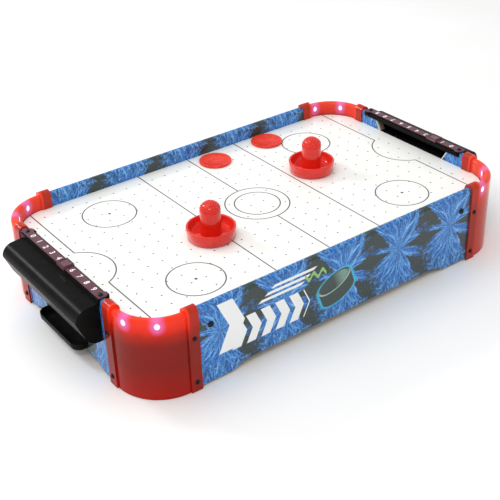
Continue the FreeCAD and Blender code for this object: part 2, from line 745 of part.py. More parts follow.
def batteryBox():
    body = newBody("battery_box_body")
    x, base, wall = D.battery_x, D.box_base, D.box_wall
    half, wide = D.box_long / 2, D.box_wide / 2
    plate = D.box_plate_long / 2
    pad(body, rectangle(body, "XY_Plane", (x - plate, -wide), (x + plate, wide), panelBase - wall), wall)
    pad(body, rectangle(body, "XY_Plane", (x - half, -wide), (x + half, wide), base), panelBase - base)
    room = rectangle(body, "XY_Plane", (x - half + wall, wall - wide), (x + half - wall, wide - wall), base)
    pocket(body, room, panelBase - base - wall, back=True)
    for y in (-D.cell_pitch, size(0), D.cell_pitch):
        pad(body, rectangle(body, "XY_Plane", (x - half + wall, y - 0.5), (x + half - wall, y + 0.5),
                            panelBase - wall - 5), 5)
    holes = [((px, py, panelBase), (0, 0, -1), 1.5, wall) for px, py in boxScrews]
    holes.append(((x + half + 1, 12, base + 12), (-1, 0, 0), 1.3, wall + 2))
    holes.append(((x - half - 1, 0, base + 12), (1, 0, 0), 1.3, wall + 2))
    for px, py in leadHoles:
        way = 1 if py > 0 else -1
        holes.append(((x + px, float(wide) * way * 1.02, 42.5), (0, -way, 0), 1.3, 4))
    keep(drilled(body, holes, "battery_box"), "battery_box")

    lid = newBody("battery_door_body")
    top = base - D.door_gap
    slab = rectangle(lid, "XY_Plane", (x - half, -wide), (x + half, wide), top - D.door_thick)
    pad(lid, slab, D.door_thick)
    for step in (-1, 0, 1):
        pad(lid, rectangle(lid, "XY_Plane", (x + half - 14 + step * 4, -12), (x + half - 12.5 + step * 4, 12),
                           top - D.door_thick - 0.6), 0.7)
    keep(lid, "battery_door")

    cells, contacts = [], []
    height = float(panelBase - wall - D.cell_radius) - 0.1
    length, radius = float(D.cell_length), float(D.cell_radius)
    inside = float(half - wall)
    for row, y in enumerate(cellRows()):
        way = 1 if row % 2 else -1
        tail = at(float(x) - way * length / 2, y, height)
        cell = Part.makeCylinder(radius, length - 1.2, tail, Vector(way, 0, 0))
        cells.append(cell.fuse(Part.makeCylinder(2.7, 1.2, tail + Vector(way * (length - 1.2), 0, 0),
                                                 Vector(way, 0, 0))))
        room = inside - length / 2
        for end in (LEFT, RIGHT):
            plateFoot = at(float(x) + end * (inside - 0.2), y, height)
            leaf = Part.makeBox(0.4, 10, 9, plateFoot - Vector(0.2, 5, 4.5))
            if end == way:
                bumpFoot = plateFoot - Vector(end * 0.2, 0, 0)
                bump = Part.makeCylinder(2, room - 0.4, bumpFoot, Vector(-end, 0, 0))
                contacts.append(leaf.fuse(bump))
                continue
            coil = leaf
            turns = 4
            step = (room - 0.9) / turns
            for turn in range(turns):
                along = 0.2 + (turn + 0.5) * step
                coil = coil.fuse(Part.makeTorus(4.6 - 0.6 * turn, step / 2 + 0.08,
                                                plateFoot - Vector(end * along, 0, 0), Vector(1, 0, 0)))
            contacts.append(coil)
    group("battery_cells", cells)
    group("battery_contacts", contacts)


def powerSwitch():
    x, tall = D.switch_x, D.switch_tall
    low = panelBase - tall
    body = newBody("switch_body_body")
    half, wide = D.switch_long / 2, D.switch_wide / 2
    pad(body, rectangle(body, "XY_Plane", (x - half, -wide), (x + half, wide), low), tall)
    pad(body, rectangle(body, "XY_Plane", (x - half - 6, -wide), (x + half + 6, wide), panelBase - 1), 1)
    slot = (D.knob_long + D.knob_travel) / 2 + 0.2
    pocket(body, rectangle(body, "XY_Plane", (x - slot, -2.2), (x + slot, 2.2), low), 5, back=True)
    holes = [((px, py, panelBase), (0, 0, -1), 1.5, 1) for px, py in switchScrews]
    keep(drilled(body, holes, "switch_body"), "switch_body")
    knob = newBody("switch_knob_body")
    start = x - D.knob_travel / 2
    nib = D.knob_long / 2
    pad(knob, rectangle(knob, "XY_Plane", (start - nib, -2), (start + nib, 2), low - 4), 8.8)
    for step in (-1, 0, 1):
        x = start + step * 1.5
        groove = rectangle(knob, "XY_Plane", (x - 0.3, -2), (x + 0.3, 2), low - 4)
        pocket(knob, groove, 0.5, back=True)
    keep(knob, "switch_knob")


# ---- wiring

def wiring():
    leads = []
    height = float(battenBase) + 2.4
    middle = float(D.corner_radius - D.board_thick / 2) / math.sqrt(2)
    ledFoot = float(D.play_top) + 4
    for side in (LEFT, RIGHT):
        for turn in (FRONT, BACK):
            startX = float(D.battery_x) + side * 8
            cornerX, cornerY = side * (float(arcLong) + middle), turn * (float(arcWide) + middle)
            route = [(startX, turn * 31.5, 42.5), (startX, turn * 42, 42.5), (startX, turn * 42, height)]
            if side == LEFT:
                route.append((60, turn * 78, height))
            route += [(side * 214, turn * 112, height), (cornerX, cornerY, height),
                      (cornerX, cornerY, ledFoot)]
            leads.append(tube(route, 1.1, 3.5))
    group("led_wiring", leads)
    boxEnd = float(D.battery_x + D.box_long / 2)
    boxStart = float(D.battery_x - D.box_long / 2)
    low = float(D.box_base) + 12
    toSwitch = tube([(boxEnd - 1, 12, low), (boxEnd + 12, 12, low), (float(D.switch_x) - 6, 6, 44),
                     (float(D.switch_x) - 6, float(D.switch_wide) / 2, 44)], 1.1, 1.4)
    fanEntry = float(D.fan_low) + 6
    toFan = tube([(boxStart + 1, 0, low), (boxStart - 12, 0, low), (float(D.fan_radius) + 12, 0, fanEntry),
                  (float(D.motor_radius) + 2, 0, fanEntry)], 1.1, 6)
    group("power_wiring", [toSwitch, toFan])


# ---- loose pieces

def pusher(name, x, y):
    body = newBody("pusher_%s_body" % name)
    floor = D.felt_thick
    wall = D.pusher_wall
    knob, side, tall = D.knob_radius, D.knob_side, D.pusher_tall

    def dome(reach, rise):
        return (reach * reach + rise * rise) / (rise * 2)

    profile = [(knob - wall, floor), (D.pusher_foot - 1.6, floor), (D.pusher_foot - 1.6, floor - 0.7),
               (D.pusher_foot, floor - 0.7), (D.pusher_radius, D.rim_tall),
               (D.pusher_radius - wall, D.rim_tall),
               (D.pusher_foot - wall - 0.6, floor + wall), (knob, floor + wall), (knob, side), (0, tall),
               (0, tall - wall), (knob - wall, side)]
    outside, inside = dome(knob, tall - side), dome(knob - wall, tall - wall - side)
    revolve(body, outline(body, "XZ_Plane", profile, {8: outside, 10: -inside}))
    height = D.play_top + D.air_gap
    put(body, x, y, height)
    keep(body, "pusher_" + name)
    felt = newBody("pusher_felt_%s_body" % name)
    revolve(felt, rectangle(felt, "XZ_Plane", (knob, 0), (D.pusher_foot - 1.8, floor)))
    put(felt, x, y, height)
    keep(felt, "pusher_felt_" + name)


def puck(name, x, y):
    body = newBody("puck_%s_body" % name)
    radius, thick = D.puck_radius, D.puck_thick
    edge, dish, rim = 0.6, 0.3, radius - 3
    profile = [(0, dish), (rim - 0.6, dish), (rim, 0), (radius - edge, 0), (radius, edge),
               (radius, thick - edge), (radius - edge, thick), (rim, thick), (rim - 0.6, thick - dish),
               (0, thick - dish)]
    revolve(body, outline(body, "XZ_Plane", profile))
    put(body, x, y, D.play_top + D.air_gap)
    keep(body, "puck_" + name)


# ---- fasteners

def fasteners():
    screws = []
    for turn in CORNERS.values():
        across = Rotation(Vector(0, 0, 1), turn)
        middle = at(arcLong * (1 if turn in (0, 270) else -1), arcWide * (1 if turn in (0, 90) else -1), 0)
        reach = float(D.corner_radius + D.collar_proud)
        back = -float(D.screw_back)
        for height in (float(D.screw_high), float(D.screw_low)):
            for place, way in ((Vector(reach, back, height), Vector(-1, 0, 0)),
                               (Vector(back, reach, height), Vector(0, -1, 0))):
                screws.append(panHead(middle + across.multVec(place), across.multVec(way), 9))
    group("corner_screws", screws)
    group("panel_screws", [panHead(at(end * panelScrewX, outWide * side, panelScrewZ), (0, -side, 0), 16,
                                   head=3.5)
                           for end in (LEFT, RIGHT) for side in (FRONT, BACK)])
    stripX = outLong + stripMiddle
    group("strip_screws", [panHead(at(stripX * side, turn * D.strip_screw, stripTop), (0, 0, -1), 12)
                           for side in (LEFT, RIGHT) for turn in (LEFT, RIGHT)])
    group("tray_screws", [panHead(at((outLong + D.tray_wall) * side, turn * 25, 34), (-side, 0, 0), 6)
                          for side in (LEFT, RIGHT) for turn in (LEFT, RIGHT)])
    below = [panHead(at(x, y, panelBase), (0, 0, 1), 12) for x, y in battenScrews()]
    below += [panHead(at(x, y, panelBase - 2), (0, 0, 1), 4.6) for x, y in fanScrews + boxScrews]
    below += [panHead(at(x, y, panelBase - 1), (0, 0, 1), 3.6) for x, y in switchScrews]
    group("base_screws", below)


playfield()
sideBoards()
endBoards()
battens()
basePanel()
for cornerName, cornerTurn in CORNERS.items():
    cornerShell(cornerName, cornerTurn)
    lightBoard(cornerName, cornerTurn)
for endName, endSide in ENDS.items():
    goalHousing(endName, endSide)
    puckTray(endName, endSide)
    scoreStrip(endName, endSide)
scoreSlider("left", LEFT, 5)
scoreSlider("right", RIGHT, 2)
fanHousing()
fanGrille()
fanMotor()
fanRotor()
batteryBox()
powerSwitch()
wiring()
pusher("left", -85.2, -28.3)
pusher("right", 102.9, 25)
puck("left", 24.9, 120.2)
puck("right", 109.6, 124.2)
fasteners()
doc.recompute()

for thing in doc.Objects:
    if "Invalid" in thing.State or "Error" in thing.State:
        raise RuntimeError("%s failed: %s" % (thing.Label, thing.State))
for node in nodes:
    shape = node.Shape
    if shape.isNull() or not shape.isValid() or not shape.Solids:
        raise RuntimeError("%s has no valid solid" % node.Label)
    print("%-26s %2d solids %10.1f mm3" % (node.Label, len(shape.Solids), shape.Volume))
    shape.exportStep("parts/%s.step" % node.Label)
print(len(nodes), "nodes")
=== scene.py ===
import math

import bpy
from mathutils import Euler, Matrix, Vector


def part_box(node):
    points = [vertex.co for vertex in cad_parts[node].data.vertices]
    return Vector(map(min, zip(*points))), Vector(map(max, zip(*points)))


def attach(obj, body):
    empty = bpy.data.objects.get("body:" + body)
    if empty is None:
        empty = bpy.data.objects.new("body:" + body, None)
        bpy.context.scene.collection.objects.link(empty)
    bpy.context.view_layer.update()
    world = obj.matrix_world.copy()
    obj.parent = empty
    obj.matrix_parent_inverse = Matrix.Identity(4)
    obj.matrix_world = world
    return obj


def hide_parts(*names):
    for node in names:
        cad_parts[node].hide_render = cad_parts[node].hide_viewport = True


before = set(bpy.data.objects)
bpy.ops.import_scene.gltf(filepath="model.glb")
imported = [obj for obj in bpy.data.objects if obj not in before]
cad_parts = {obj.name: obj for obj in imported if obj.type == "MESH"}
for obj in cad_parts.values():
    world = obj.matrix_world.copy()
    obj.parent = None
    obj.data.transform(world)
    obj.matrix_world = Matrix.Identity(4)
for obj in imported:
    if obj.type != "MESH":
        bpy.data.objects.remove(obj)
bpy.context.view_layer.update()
print("frame loaded:", len(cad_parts), "pieces")


# ---- shared helpers

def linearColour(code):
    # "#rrggbb" in sRGB to the linear colour that the shaders take
    parts = [int(code[i:i + 2], 16) / 255 for i in (1, 3, 5)]
    return tuple(p / 12.92 if p <= 0.04045 else ((p + 0.055) / 1.055) ** 2.4 for p in parts) + (1.0,)


def addNode(tree, kind, inputs=(), stops=(), interpolation=None, **settings):
    # one shader node: its settings, its colour stops, and its sockets set to values or linked to outputs;
    # inputs are a dictionary by socket, or a row in the order of the sockets
    made = tree.nodes.new("ShaderNode" + kind)
    for setting, value in settings.items():
        setattr(made, setting, value)
    for socket, value in inputs.items() if isinstance(inputs, dict) else enumerate(inputs):
        if isinstance(value, bpy.types.NodeSocket):
            tree.links.new(value, made.inputs[socket])
        else:
            made.inputs[socket].default_value = value
    if interpolation:
        made.color_ramp.interpolation = interpolation
    for k, (position, colour) in enumerate(stops):
        mark = made.color_ramp.elements[k] if k < 2 else made.color_ramp.elements.new(position)
        mark.position = position
        mark.color = linearColour(colour) if isinstance(colour, str) else (colour, colour, colour, 1)
    return made.outputs


def newMaterial(name):
    material = bpy.data.materials.new(name)
    material.use_nodes = True
    tree = material.node_tree
    tree.nodes.clear()
    place = addNode(tree, "TexCoord")["Object"]
    return material, tree, place


def finishMaterial(tree, surface):
    output = tree.nodes.new("ShaderNodeOutputMaterial")
    tree.links.new(surface, output.inputs["Surface"])


def paint(node, material):
    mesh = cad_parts[node].data
    mesh.materials.clear()
    mesh.materials.append(material)


def selectOnly(piece):
    bpy.ops.object.select_all(action="DESELECT")
    piece.select_set(True)
    bpy.context.view_layer.objects.active = piece


def settle(piece, name, material, body):
    # names a finished piece, bakes its place into its mesh and hangs it on its body
    piece.name = name
    piece.data.name = name
    selectOnly(piece)
    bpy.ops.object.transform_apply(location=True, rotation=True, scale=True)
    piece.data.materials.clear()
    piece.data.materials.append(material)
    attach(piece, body)
    return piece


# ---- playing field: gloss lacquer on hardboard, printed lines

fieldLook = {
    "white": "#fbfcf8", "shade": "#f7f8f4", "line": "#4a4a4a", "dot": "#4a2a2a", "lineWidth": 0.0015,
    # painted shade: the dark grey for the walls of the air holes and the grey ring round their mouths
    "hole": "#4c4c4a", "holeEdge": "#b4b4b1", "holeStep": (0.0182, 0.0184), "holeReach": 0.0012,
    "holeLimit": (13, 7.5), "blueLine": 0.0729, "goalLine": 0.2205, "creaseCentre": 0.2363,
    "creaseRadius": 0.0401,
    "spot": (0.1469, 0.0886), "spotRadius": 0.0312, "centreRadii": (0.0379, 0.0268), "dotRadius": 0.0019,
}


def fieldMaterial():
    # lacquered hardboard: bright, even white with a faint satin waviness in its gloss
    material, tree, place = newMaterial("lacqueredHardboardPrinted")
    look = fieldLook
    folded = addNode(tree, "VectorMath", {0: place}, operation="ABSOLUTE")["Vector"]
    axes = addNode(tree, "SeparateXYZ", {0: folded})
    flat = addNode(tree, "CombineXYZ", {0: axes["X"], 1: axes["Y"]})["Vector"]

    def ring(centre, radius):
        away = addNode(tree, "VectorMath", {0: flat, 1: centre}, operation="DISTANCE")["Value"]
        off = addNode(tree, "Math", {0: away, 1: radius}, operation="SUBTRACT")[0]
        return addNode(tree, "Math", {0: off}, operation="ABSOLUTE")[0]

    def straight(offset):
        off = addNode(tree, "Math", {0: axes["X"], 1: offset}, operation="SUBTRACT")[0]
        return addNode(tree, "Math", {0: off}, operation="ABSOLUTE")[0]

    creaseHalf = math.sqrt(look["creaseRadius"] ** 2 - (look["creaseCentre"] - look["goalLine"]) ** 2)
    insideCrease = addNode(tree, "Math", {0: axes["Y"], 1: creaseHalf}, operation="LESS_THAN")[0]
    goal = addNode(tree, "Math", {0: straight(look["goalLine"]), 1: insideCrease}, operation="ADD")[0]
    behindGoal = addNode(tree, "Math", {0: axes["X"], 1: look["goalLine"]}, operation="GREATER_THAN")[0]
    crease = addNode(tree, "Math", {0: ring((look["creaseCentre"], 0, 0), look["creaseRadius"]),
                                    1: behindGoal}, operation="ADD")[0]
    fromCentre = addNode(tree, "VectorMath", {0: flat}, operation="LENGTH")["Value"]
    inCentre = addNode(tree, "Math", {0: fromCentre, 1: look["centreRadii"][0]}, operation="LESS_THAN")[0]
    nearest = addNode(tree, "Math", {0: straight(0.0), 1: inCentre}, operation="ADD")[0]
    marks = [straight(look["blueLine"]), goal, crease, ring((*look["spot"], 0), look["spotRadius"])]
    marks += [ring((0, 0, 0), radius) for radius in look["centreRadii"]]
    for mark in marks:
        nearest = addNode(tree, "Math", {0: nearest, 1: mark}, operation="MINIMUM")[0]
    half = look["lineWidth"] / 2
    printed = addNode(tree, "MapRange", {0: nearest, 1: half - 0.00015, 2: half + 0.00015, 3: 1.0, 4: 0.0})[0]
    spotAway = addNode(tree, "VectorMath", {0: flat, 1: (*look["spot"], 0)}, operation="DISTANCE")["Value"]
    spot = addNode(tree, "MapRange", {0: spotAway, 1: look["dotRadius"] - 0.0003, 2: look["dotRadius"],
                                      3: 1.0, 4: 0.0})[0]
    cloud = addNode(tree, "TexNoise", {"Vector": place, "Scale": 18.0, "Detail": 3.0})[0]
    tones = [(0.3, look["shade"]), (0.7, look["white"])]
    ground = addNode(tree, "ValToRGB", {0: cloud}, stops=tones)["Color"]
    lined = addNode(tree, "Mix", {"Factor": printed, "A": ground, "B": linearColour(look["line"])},
                    data_type="RGBA")["Result"]
    dotted = addNode(tree, "Mix", {"Factor": spot, "A": lined, "B": linearColour(look["dot"])},
                     data_type="RGBA")["Result"]
    # the air holes: painted shade as a grey ring round the mouth of each, and painted shade on the walls
    # inside
    step = look["holeStep"]
    counted = addNode(tree, "VectorMath", (place, (1 / step[0], 1 / step[1], 0)),
                      operation="MULTIPLY")["Vector"]
    shifted = addNode(tree, "VectorMath", {0: counted, 1: (0, 0.5, 0)}, operation="ADD")["Vector"]
    within = addNode(tree, "VectorMath", {0: shifted}, operation="FRACTION")["Vector"]
    centred = addNode(tree, "VectorMath", {0: within, 1: (0.5, 0.5, 0)}, operation="SUBTRACT")["Vector"]
    offHole = addNode(tree, "VectorMath", {0: centred, 1: (*step, 0)}, operation="MULTIPLY")["Vector"]
    holeAway = addNode(tree, "VectorMath", {0: offHole}, operation="LENGTH")["Value"]
    # painted shade: a soft grey ring round the mouths of the air holes
    mouthShade = addNode(tree, "MapRange", {0: holeAway, 1: look["holeReach"], 2: look["holeReach"] - 0.0003})[0]
    bounded = [addNode(tree, "Math", (axes[axis], limit * step[k]), operation="LESS_THAN")[0]
               for k, (axis, limit) in enumerate(zip("XY", look["holeLimit"]))]
    gridded = addNode(tree, "Math", bounded, operation="MULTIPLY")[0]
    holed = addNode(tree, "Math", (gridded, mouthShade), operation="MULTIPLY")[0]
    mouthShaded = addNode(tree, "Mix", {"Factor": holed, "A": dotted, "B": linearColour(look["holeEdge"])},
                     data_type="RGBA")["Result"]
    # painted shade: faces that do not face up, the walls of the air holes among them, darkened to grey
    facing = addNode(tree, "SeparateXYZ", {0: addNode(tree, "NewGeometry")["Normal"]})["Z"]
    below = addNode(tree, "Math", {0: facing, 1: 0.5}, operation="LESS_THAN")[0]
    wallShaded = addNode(tree, "Mix", {"Factor": below, "A": mouthShaded, "B": linearColour(look["hole"])},
                      data_type="RGBA")["Result"]
    wave = addNode(tree, "TexNoise", {"Vector": place, "Scale": 55.0, "Detail": 2.0})[0]
    bump = addNode(tree, "Bump", {"Height": wave, "Strength": 0.03, "Distance": 0.0005})["Normal"]
    surface = addNode(tree, "BsdfPrincipled", {"Base Color": wallShaded, "Roughness": 0.3, "Coat Weight": 0.2,
                                               "Coat Roughness": 0.12, "Specular IOR Level": 0.4,
                                               "Normal": bump})[0]
    finishMaterial(tree, surface)
    return material


paint("playfield_board", fieldMaterial())
print("playing field printed")


# ---- boards: MDF wrapped in a printed film

filmLook = {
    "slate": ("#2f3a38", "#3d4947"), "navy": "#16509a", "blue": "#2874c8", "mid": "#4a9ee8",
    "light": "#97d0fa", "fibre": ("#7d6547", "#a88c66"),
    "pitch": 0.081, "rise": 0.092, "firstAlong": 0.0779, "firstHeight": 0.0588,
    # how far a burst reaches, in mm, against the direction in degrees from straight left, anticlockwise
    "lobes": ((0, 12), (14, 34), (24, 42), (40, 47), (62, 56), (118, 58), (126, 34), (131, 16), (138, 24),
              (150, 42), (162, 38), (174, 13), (184, 12), (196, 36), (204, 41), (212, 30), (226, 44),
              (238, 52), (262, 54), (296, 56), (312, 54), (322, 20), (334, 18), (341, 38), (349, 40),
              (356, 14)),
    # how far the longest lobe may reach, the spread of its frayed end, and where its ink fades out
    "reach": 0.060, "frayed": (0.040, 0.086), "fade": (1.05, 0.72),
    # layers of strands: how they lean from straight out, and how many there are in a radian; then how many
    # steps a strand takes in a metre, and the noise levels where ink is solid and where it is bright
    "strands": ((0.0, 11.0), (0.07, 17.0), (-0.07, 17.0), (0.24, 9.0), (-0.24, 9.0)),
    "steps": 55.0, "solidInk": (0.50, 0.60, 0.5, 1.0), "brightInk": (0.60, 0.72),
}
# where the rounded top starts and its radius, the level under the field, and the boards' middles
boardShape = {"crown": 0.091, "nose": 0.0045, "fieldUnder": 0.0745, "longMiddle": 0.1515, "endMiddle": 0.2515}


def frostBurst(tree, offset):
    # fine forking strands round a centre; gives how solidly ink covers a point and how bright the strand is
    parts = addNode(tree, "SeparateXYZ", {0: offset})
    reach = addNode(tree, "VectorMath", {0: offset}, operation="LENGTH")["Value"]
    turn = addNode(tree, "Math", {0: parts["Y"], 1: parts["X"]}, operation="ARCTAN2")[0]
    share = addNode(tree, "MapRange", {0: turn, 1: -math.pi, 2: math.pi})[0]
    stops = [(angle / 360, length / 1000 / filmLook["reach"]) for angle, length in filmLook["lobes"]]
    lobe = addNode(tree, "ValToRGB", {0: share}, stops=stops, interpolation="EASE")["Color"]
    ragged = addNode(tree, "TexNoise", {"Vector": offset, "Scale": 210.0, "Detail": 2.0, "Roughness": 0.7})[0]
    frayed = addNode(tree, "MapRange", (ragged, 0.25, 0.75, *filmLook["frayed"]))[0]
    limit = addNode(tree, "Math", {0: lobe, 1: frayed}, operation="MULTIPLY")[0]
    run = addNode(tree, "Math", {0: reach, 1: limit}, operation="DIVIDE")[0]
    inside = addNode(tree, "MapRange", (run, *filmLook["fade"]))[0]
    depth = addNode(tree, "Math", (reach, filmLook["steps"]), operation="MULTIPLY")[0]
    strands = None
    for lean, count in filmLook["strands"]:
        leant = addNode(tree, "Math", {0: depth, 1: lean, 2: turn}, operation="MULTIPLY_ADD")[0]
        strandAt = addNode(tree, "CombineXYZ", {0: leant, 1: depth, 2: lean * 31})["Vector"]
        drawn = addNode(tree, "VectorMath", (strandAt, (count, 0.5, 1.0)), operation="MULTIPLY")["Vector"]
        fine = addNode(tree, "TexNoise", {"Vector": drawn, "Scale": 1.0, "Detail": 1.0, "Roughness": 0.5})[0]
        strands = fine if strands is None else addNode(tree, "Math", (strands, fine), operation="MAXIMUM")[0]
    bright = addNode(tree, "MapRange", (strands, *filmLook["brightInk"]))[0]
    solid = addNode(tree, "MapRange", (strands, *filmLook["solidInk"]))[0]
    cover = addNode(tree, "Math", {0: solid, 1: inside}, operation="MULTIPLY")[0]
    lit = addNode(tree, "Math", {0: bright, 1: inside}, operation="MULTIPLY")[0]
    return cover, lit


def filmPrint(tree, sheet):
    # bursts on a grid over slate, each point taking the nearer two
    look = filmLook
    pitch = (look["pitch"], look["rise"], 0)
    centred = addNode(tree, "VectorMath", {0: sheet, 1: (look["firstAlong"], look["firstHeight"], 0)},
                      operation="SUBTRACT")["Vector"]
    cells = addNode(tree, "VectorMath", {0: centred, 1: (1 / pitch[0], 1 / pitch[1], 0)},
                    operation="MULTIPLY")["Vector"]
    bursts = []
    for feature in ("F1", "F2"):
        nearest = addNode(tree, "TexVoronoi", {"Vector": cells, "Scale": 1.0, "Randomness": 0.0},
                          feature=feature, voronoi_dimensions="2D")["Position"]
        back = addNode(tree, "VectorMath", {0: nearest, 1: pitch}, operation="MULTIPLY")["Vector"]
        offset = addNode(tree, "VectorMath", {0: centred, 1: back}, operation="SUBTRACT")["Vector"]
        bursts.append(frostBurst(tree, offset))
    cover, lit = [addNode(tree, "Math", pair, operation="MAXIMUM")[0] for pair in zip(*bursts)]
    speckle = addNode(tree, "TexNoise", {"Vector": sheet, "Scale": 420.0, "Detail": 2.0})[0]
    ground = addNode(tree, "ValToRGB", {0: speckle}, stops=[(0.3, look["slate"][0]), (0.7, look["slate"][1])])
    wash = addNode(tree, "ValToRGB", {0: speckle}, stops=[(0.35, look["navy"]), (0.55, look["blue"])])
    inked = addNode(tree, "Mix", {"Factor": cover, "A": ground["Color"], "B": wash["Color"]},
                    data_type="RGBA")["Result"]
    sparks = [(0.3, look["mid"]), (0.75, look["light"])]
    flecks = addNode(tree, "ValToRGB", {0: speckle}, stops=sparks)["Color"]
    return addNode(tree, "Mix", {"Factor": lit, "A": inked, "B": flecks}, data_type="RGBA")["Result"]


graphicLook = {
    "white": "#f3f4f2", "green": "#8fc06a", "glow": "#3cbde6", "rim": "#a7cfc0", "disc": "#3d4a45",
    # each mark: left, then its width or its right end, then its level and half height
    "tallChevron": (-0.168, 0.019, 0.060, 0.030), "lowChevrons": (-0.144, -0.050, 0.045, 0.017),
    "pitch": 0.0185, "stroke": 0.62, "point": 0.47,
    "dashes": (-0.118, -0.062, 0.069, 0.086), "dashPitch": 0.006, "dashStroke": 0.55, "dashLean": 1.4,
    "wave": (-0.057, -0.028, 0.074, 0.0024), "waveTurns": 520.0, "waveSwing": 0.0032,
    "puck": (-0.0135, 0.0465), "puckWide": 0.0235, "puckFlat": 0.0105, "puckHalf": 0.0085, "puckTilt": 20,
    # on the puck: how far the glow spreads, and where the rim and the sheen lie
    "glowSpread": 1.22, "rimBand": (0.9, 1.0), "rimFades": (0.012, 0.004), "sheenTo": 0.86,
    "sheenGrows": (0.0, 0.012, 0.0, 0.45),
}


def frontGraphic(tree, sheet, ground):
    # plain chevrons, dashes and a wave running towards a puck, printed over the film on the front board
    look = graphicLook
    axes = addNode(tree, "SeparateXYZ", {0: sheet})
    x, z = axes["X"], axes["Y"]

    def overlap(first, *others):
        # where every mask covers
        for other in others:
            first = addNode(tree, "Math", (first, other), operation="MULTIPLY")[0]
        return first

    def between(value, low, high, soft=0.0002):
        # covers from low to high, with soft edges
        rise = addNode(tree, "MapRange", (value, low - soft, low + soft))[0]
        fall = addNode(tree, "MapRange", (value, high - soft, high + soft, 1.0, 0.0))[0]
        return overlap(rise, fall)

    def beats(value, start, pitch):
        # runs from 0 to 1 in each pitch
        offset = addNode(tree, "Math", (value, start), operation="SUBTRACT")[0]
        turns = addNode(tree, "Math", (offset, pitch), operation="DIVIDE")[0]
        return addNode(tree, "Math", (turns,), operation="FRACT")[0]

    def chevronRun(level):
        # how far along a point is, measured from a line that is bent to point to the right
        off = addNode(tree, "Math", (z, level), operation="SUBTRACT")[0]
        away = addNode(tree, "Math", (off,), operation="ABSOLUTE")[0]
        return addNode(tree, "Math", (away, look["point"], x), operation="MULTIPLY_ADD")[0], away

    left, wide, level, half = look["tallChevron"]
    run, away = chevronRun(level)
    start = left + look["point"] * half
    tall = overlap(between(run, start, start + wide), between(away, -1.0, half))
    left, right, level, half = look["lowChevrons"]
    run, away = chevronRun(level)
    low = overlap(between(beats(run, left, look["pitch"]), 0.0, look["stroke"], 0.01),
                  between(away, -1.0, half), between(run, left, right))
    left, right, bottom, top = look["dashes"]
    lean = addNode(tree, "Math", (x, look["dashLean"] * bottom), operation="ADD")[0]
    lean = addNode(tree, "Math", (z, -look["dashLean"], lean), operation="MULTIPLY_ADD")[0]
    dash = overlap(between(beats(z, bottom, look["dashPitch"]), 0.0, look["dashStroke"], 0.03),
                   between(z, bottom, top), between(lean, left, right))
    white = tall
    for mark in (low, dash):
        white = addNode(tree, "Math", (white, mark), operation="MAXIMUM")[0]
    left, right, level, half = look["wave"]
    turns = addNode(tree, "Math", (x, look["waveTurns"]), operation="MULTIPLY")[0]
    swing = addNode(tree, "Math", (turns,), operation="SINE")[0]
    crest = addNode(tree, "Math", (swing, look["waveSwing"], level), operation="MULTIPLY_ADD")[0]
    off = addNode(tree, "Math", (z, crest), operation="SUBTRACT")[0]
    green = overlap(between(off, -half, half), between(x, left, right))

    centred = addNode(tree, "VectorMath", (sheet, (*look["puck"], 0)), operation="SUBTRACT")["Vector"]
    tilt = math.radians(-look["puckTilt"])
    tilted = addNode(tree, "VectorRotate", {"Vector": centred, "Angle": tilt},
                     rotation_type="Z_AXIS")["Vector"]
    turned = addNode(tree, "SeparateXYZ", {0: tilted})
    u, v = turned["X"], turned["Y"]

    def oval(up):
        # reaches 1 on the edge of the puck's flat side
        spot = addNode(tree, "CombineXYZ", (u, up))["Vector"]
        spot = addNode(tree, "VectorMath", (spot, (look["puckWide"], look["puckFlat"], 1)),
                       operation="DIVIDE")["Vector"]
        return addNode(tree, "VectorMath", (spot,), operation="LENGTH")["Value"]

    past = addNode(tree, "Math", (v,), operation="ABSOLUTE")[0]
    past = addNode(tree, "Math", (past, look["puckHalf"]), operation="SUBTRACT")[0]
    body = oval(addNode(tree, "Math", (past, 0.0), operation="MAXIMUM")[0])
    face = oval(addNode(tree, "Math", (v, look["puckHalf"]), operation="SUBTRACT")[0])
    glow = addNode(tree, "MapRange", (body, 1.0, look["glowSpread"], 1.0, 0.0),
                   interpolation_type="SMOOTHSTEP")[0]
    disc = between(body, -1.0, 1.0, 0.02)
    rim = overlap(between(face, *look["rimBand"], 0.02), addNode(tree, "MapRange", (v, *look["rimFades"]))[0])
    sheen = overlap(addNode(tree, "MapRange", (u, *look["sheenGrows"]))[0],
                    between(face, -1.0, look["sheenTo"], 0.04))
    result = ground
    for amount, colour in ((white, "white"), (green, "green"), (glow, "glow"), (disc, "disc"),
                           (sheen, "rim"), (rim, "rim")):
        result = addNode(tree, "Mix", {"Factor": amount, "A": result, "B": linearColour(look[colour])},
                         data_type="RGBA")["Result"]
    return result


# the goal mouth: where it is on the end boards, and its pale edging and dark sill
mouthLook = {
    "reach": 0.0705, "low": 0.0772, "high": 0.0895, "slope": 0.609, "edge": (0.0078, 0.0096),
    "trim": ("#f0eee6", "#8c7a5c"), "edgeColour": "#e6e4dc", "sill": "#121312",
}


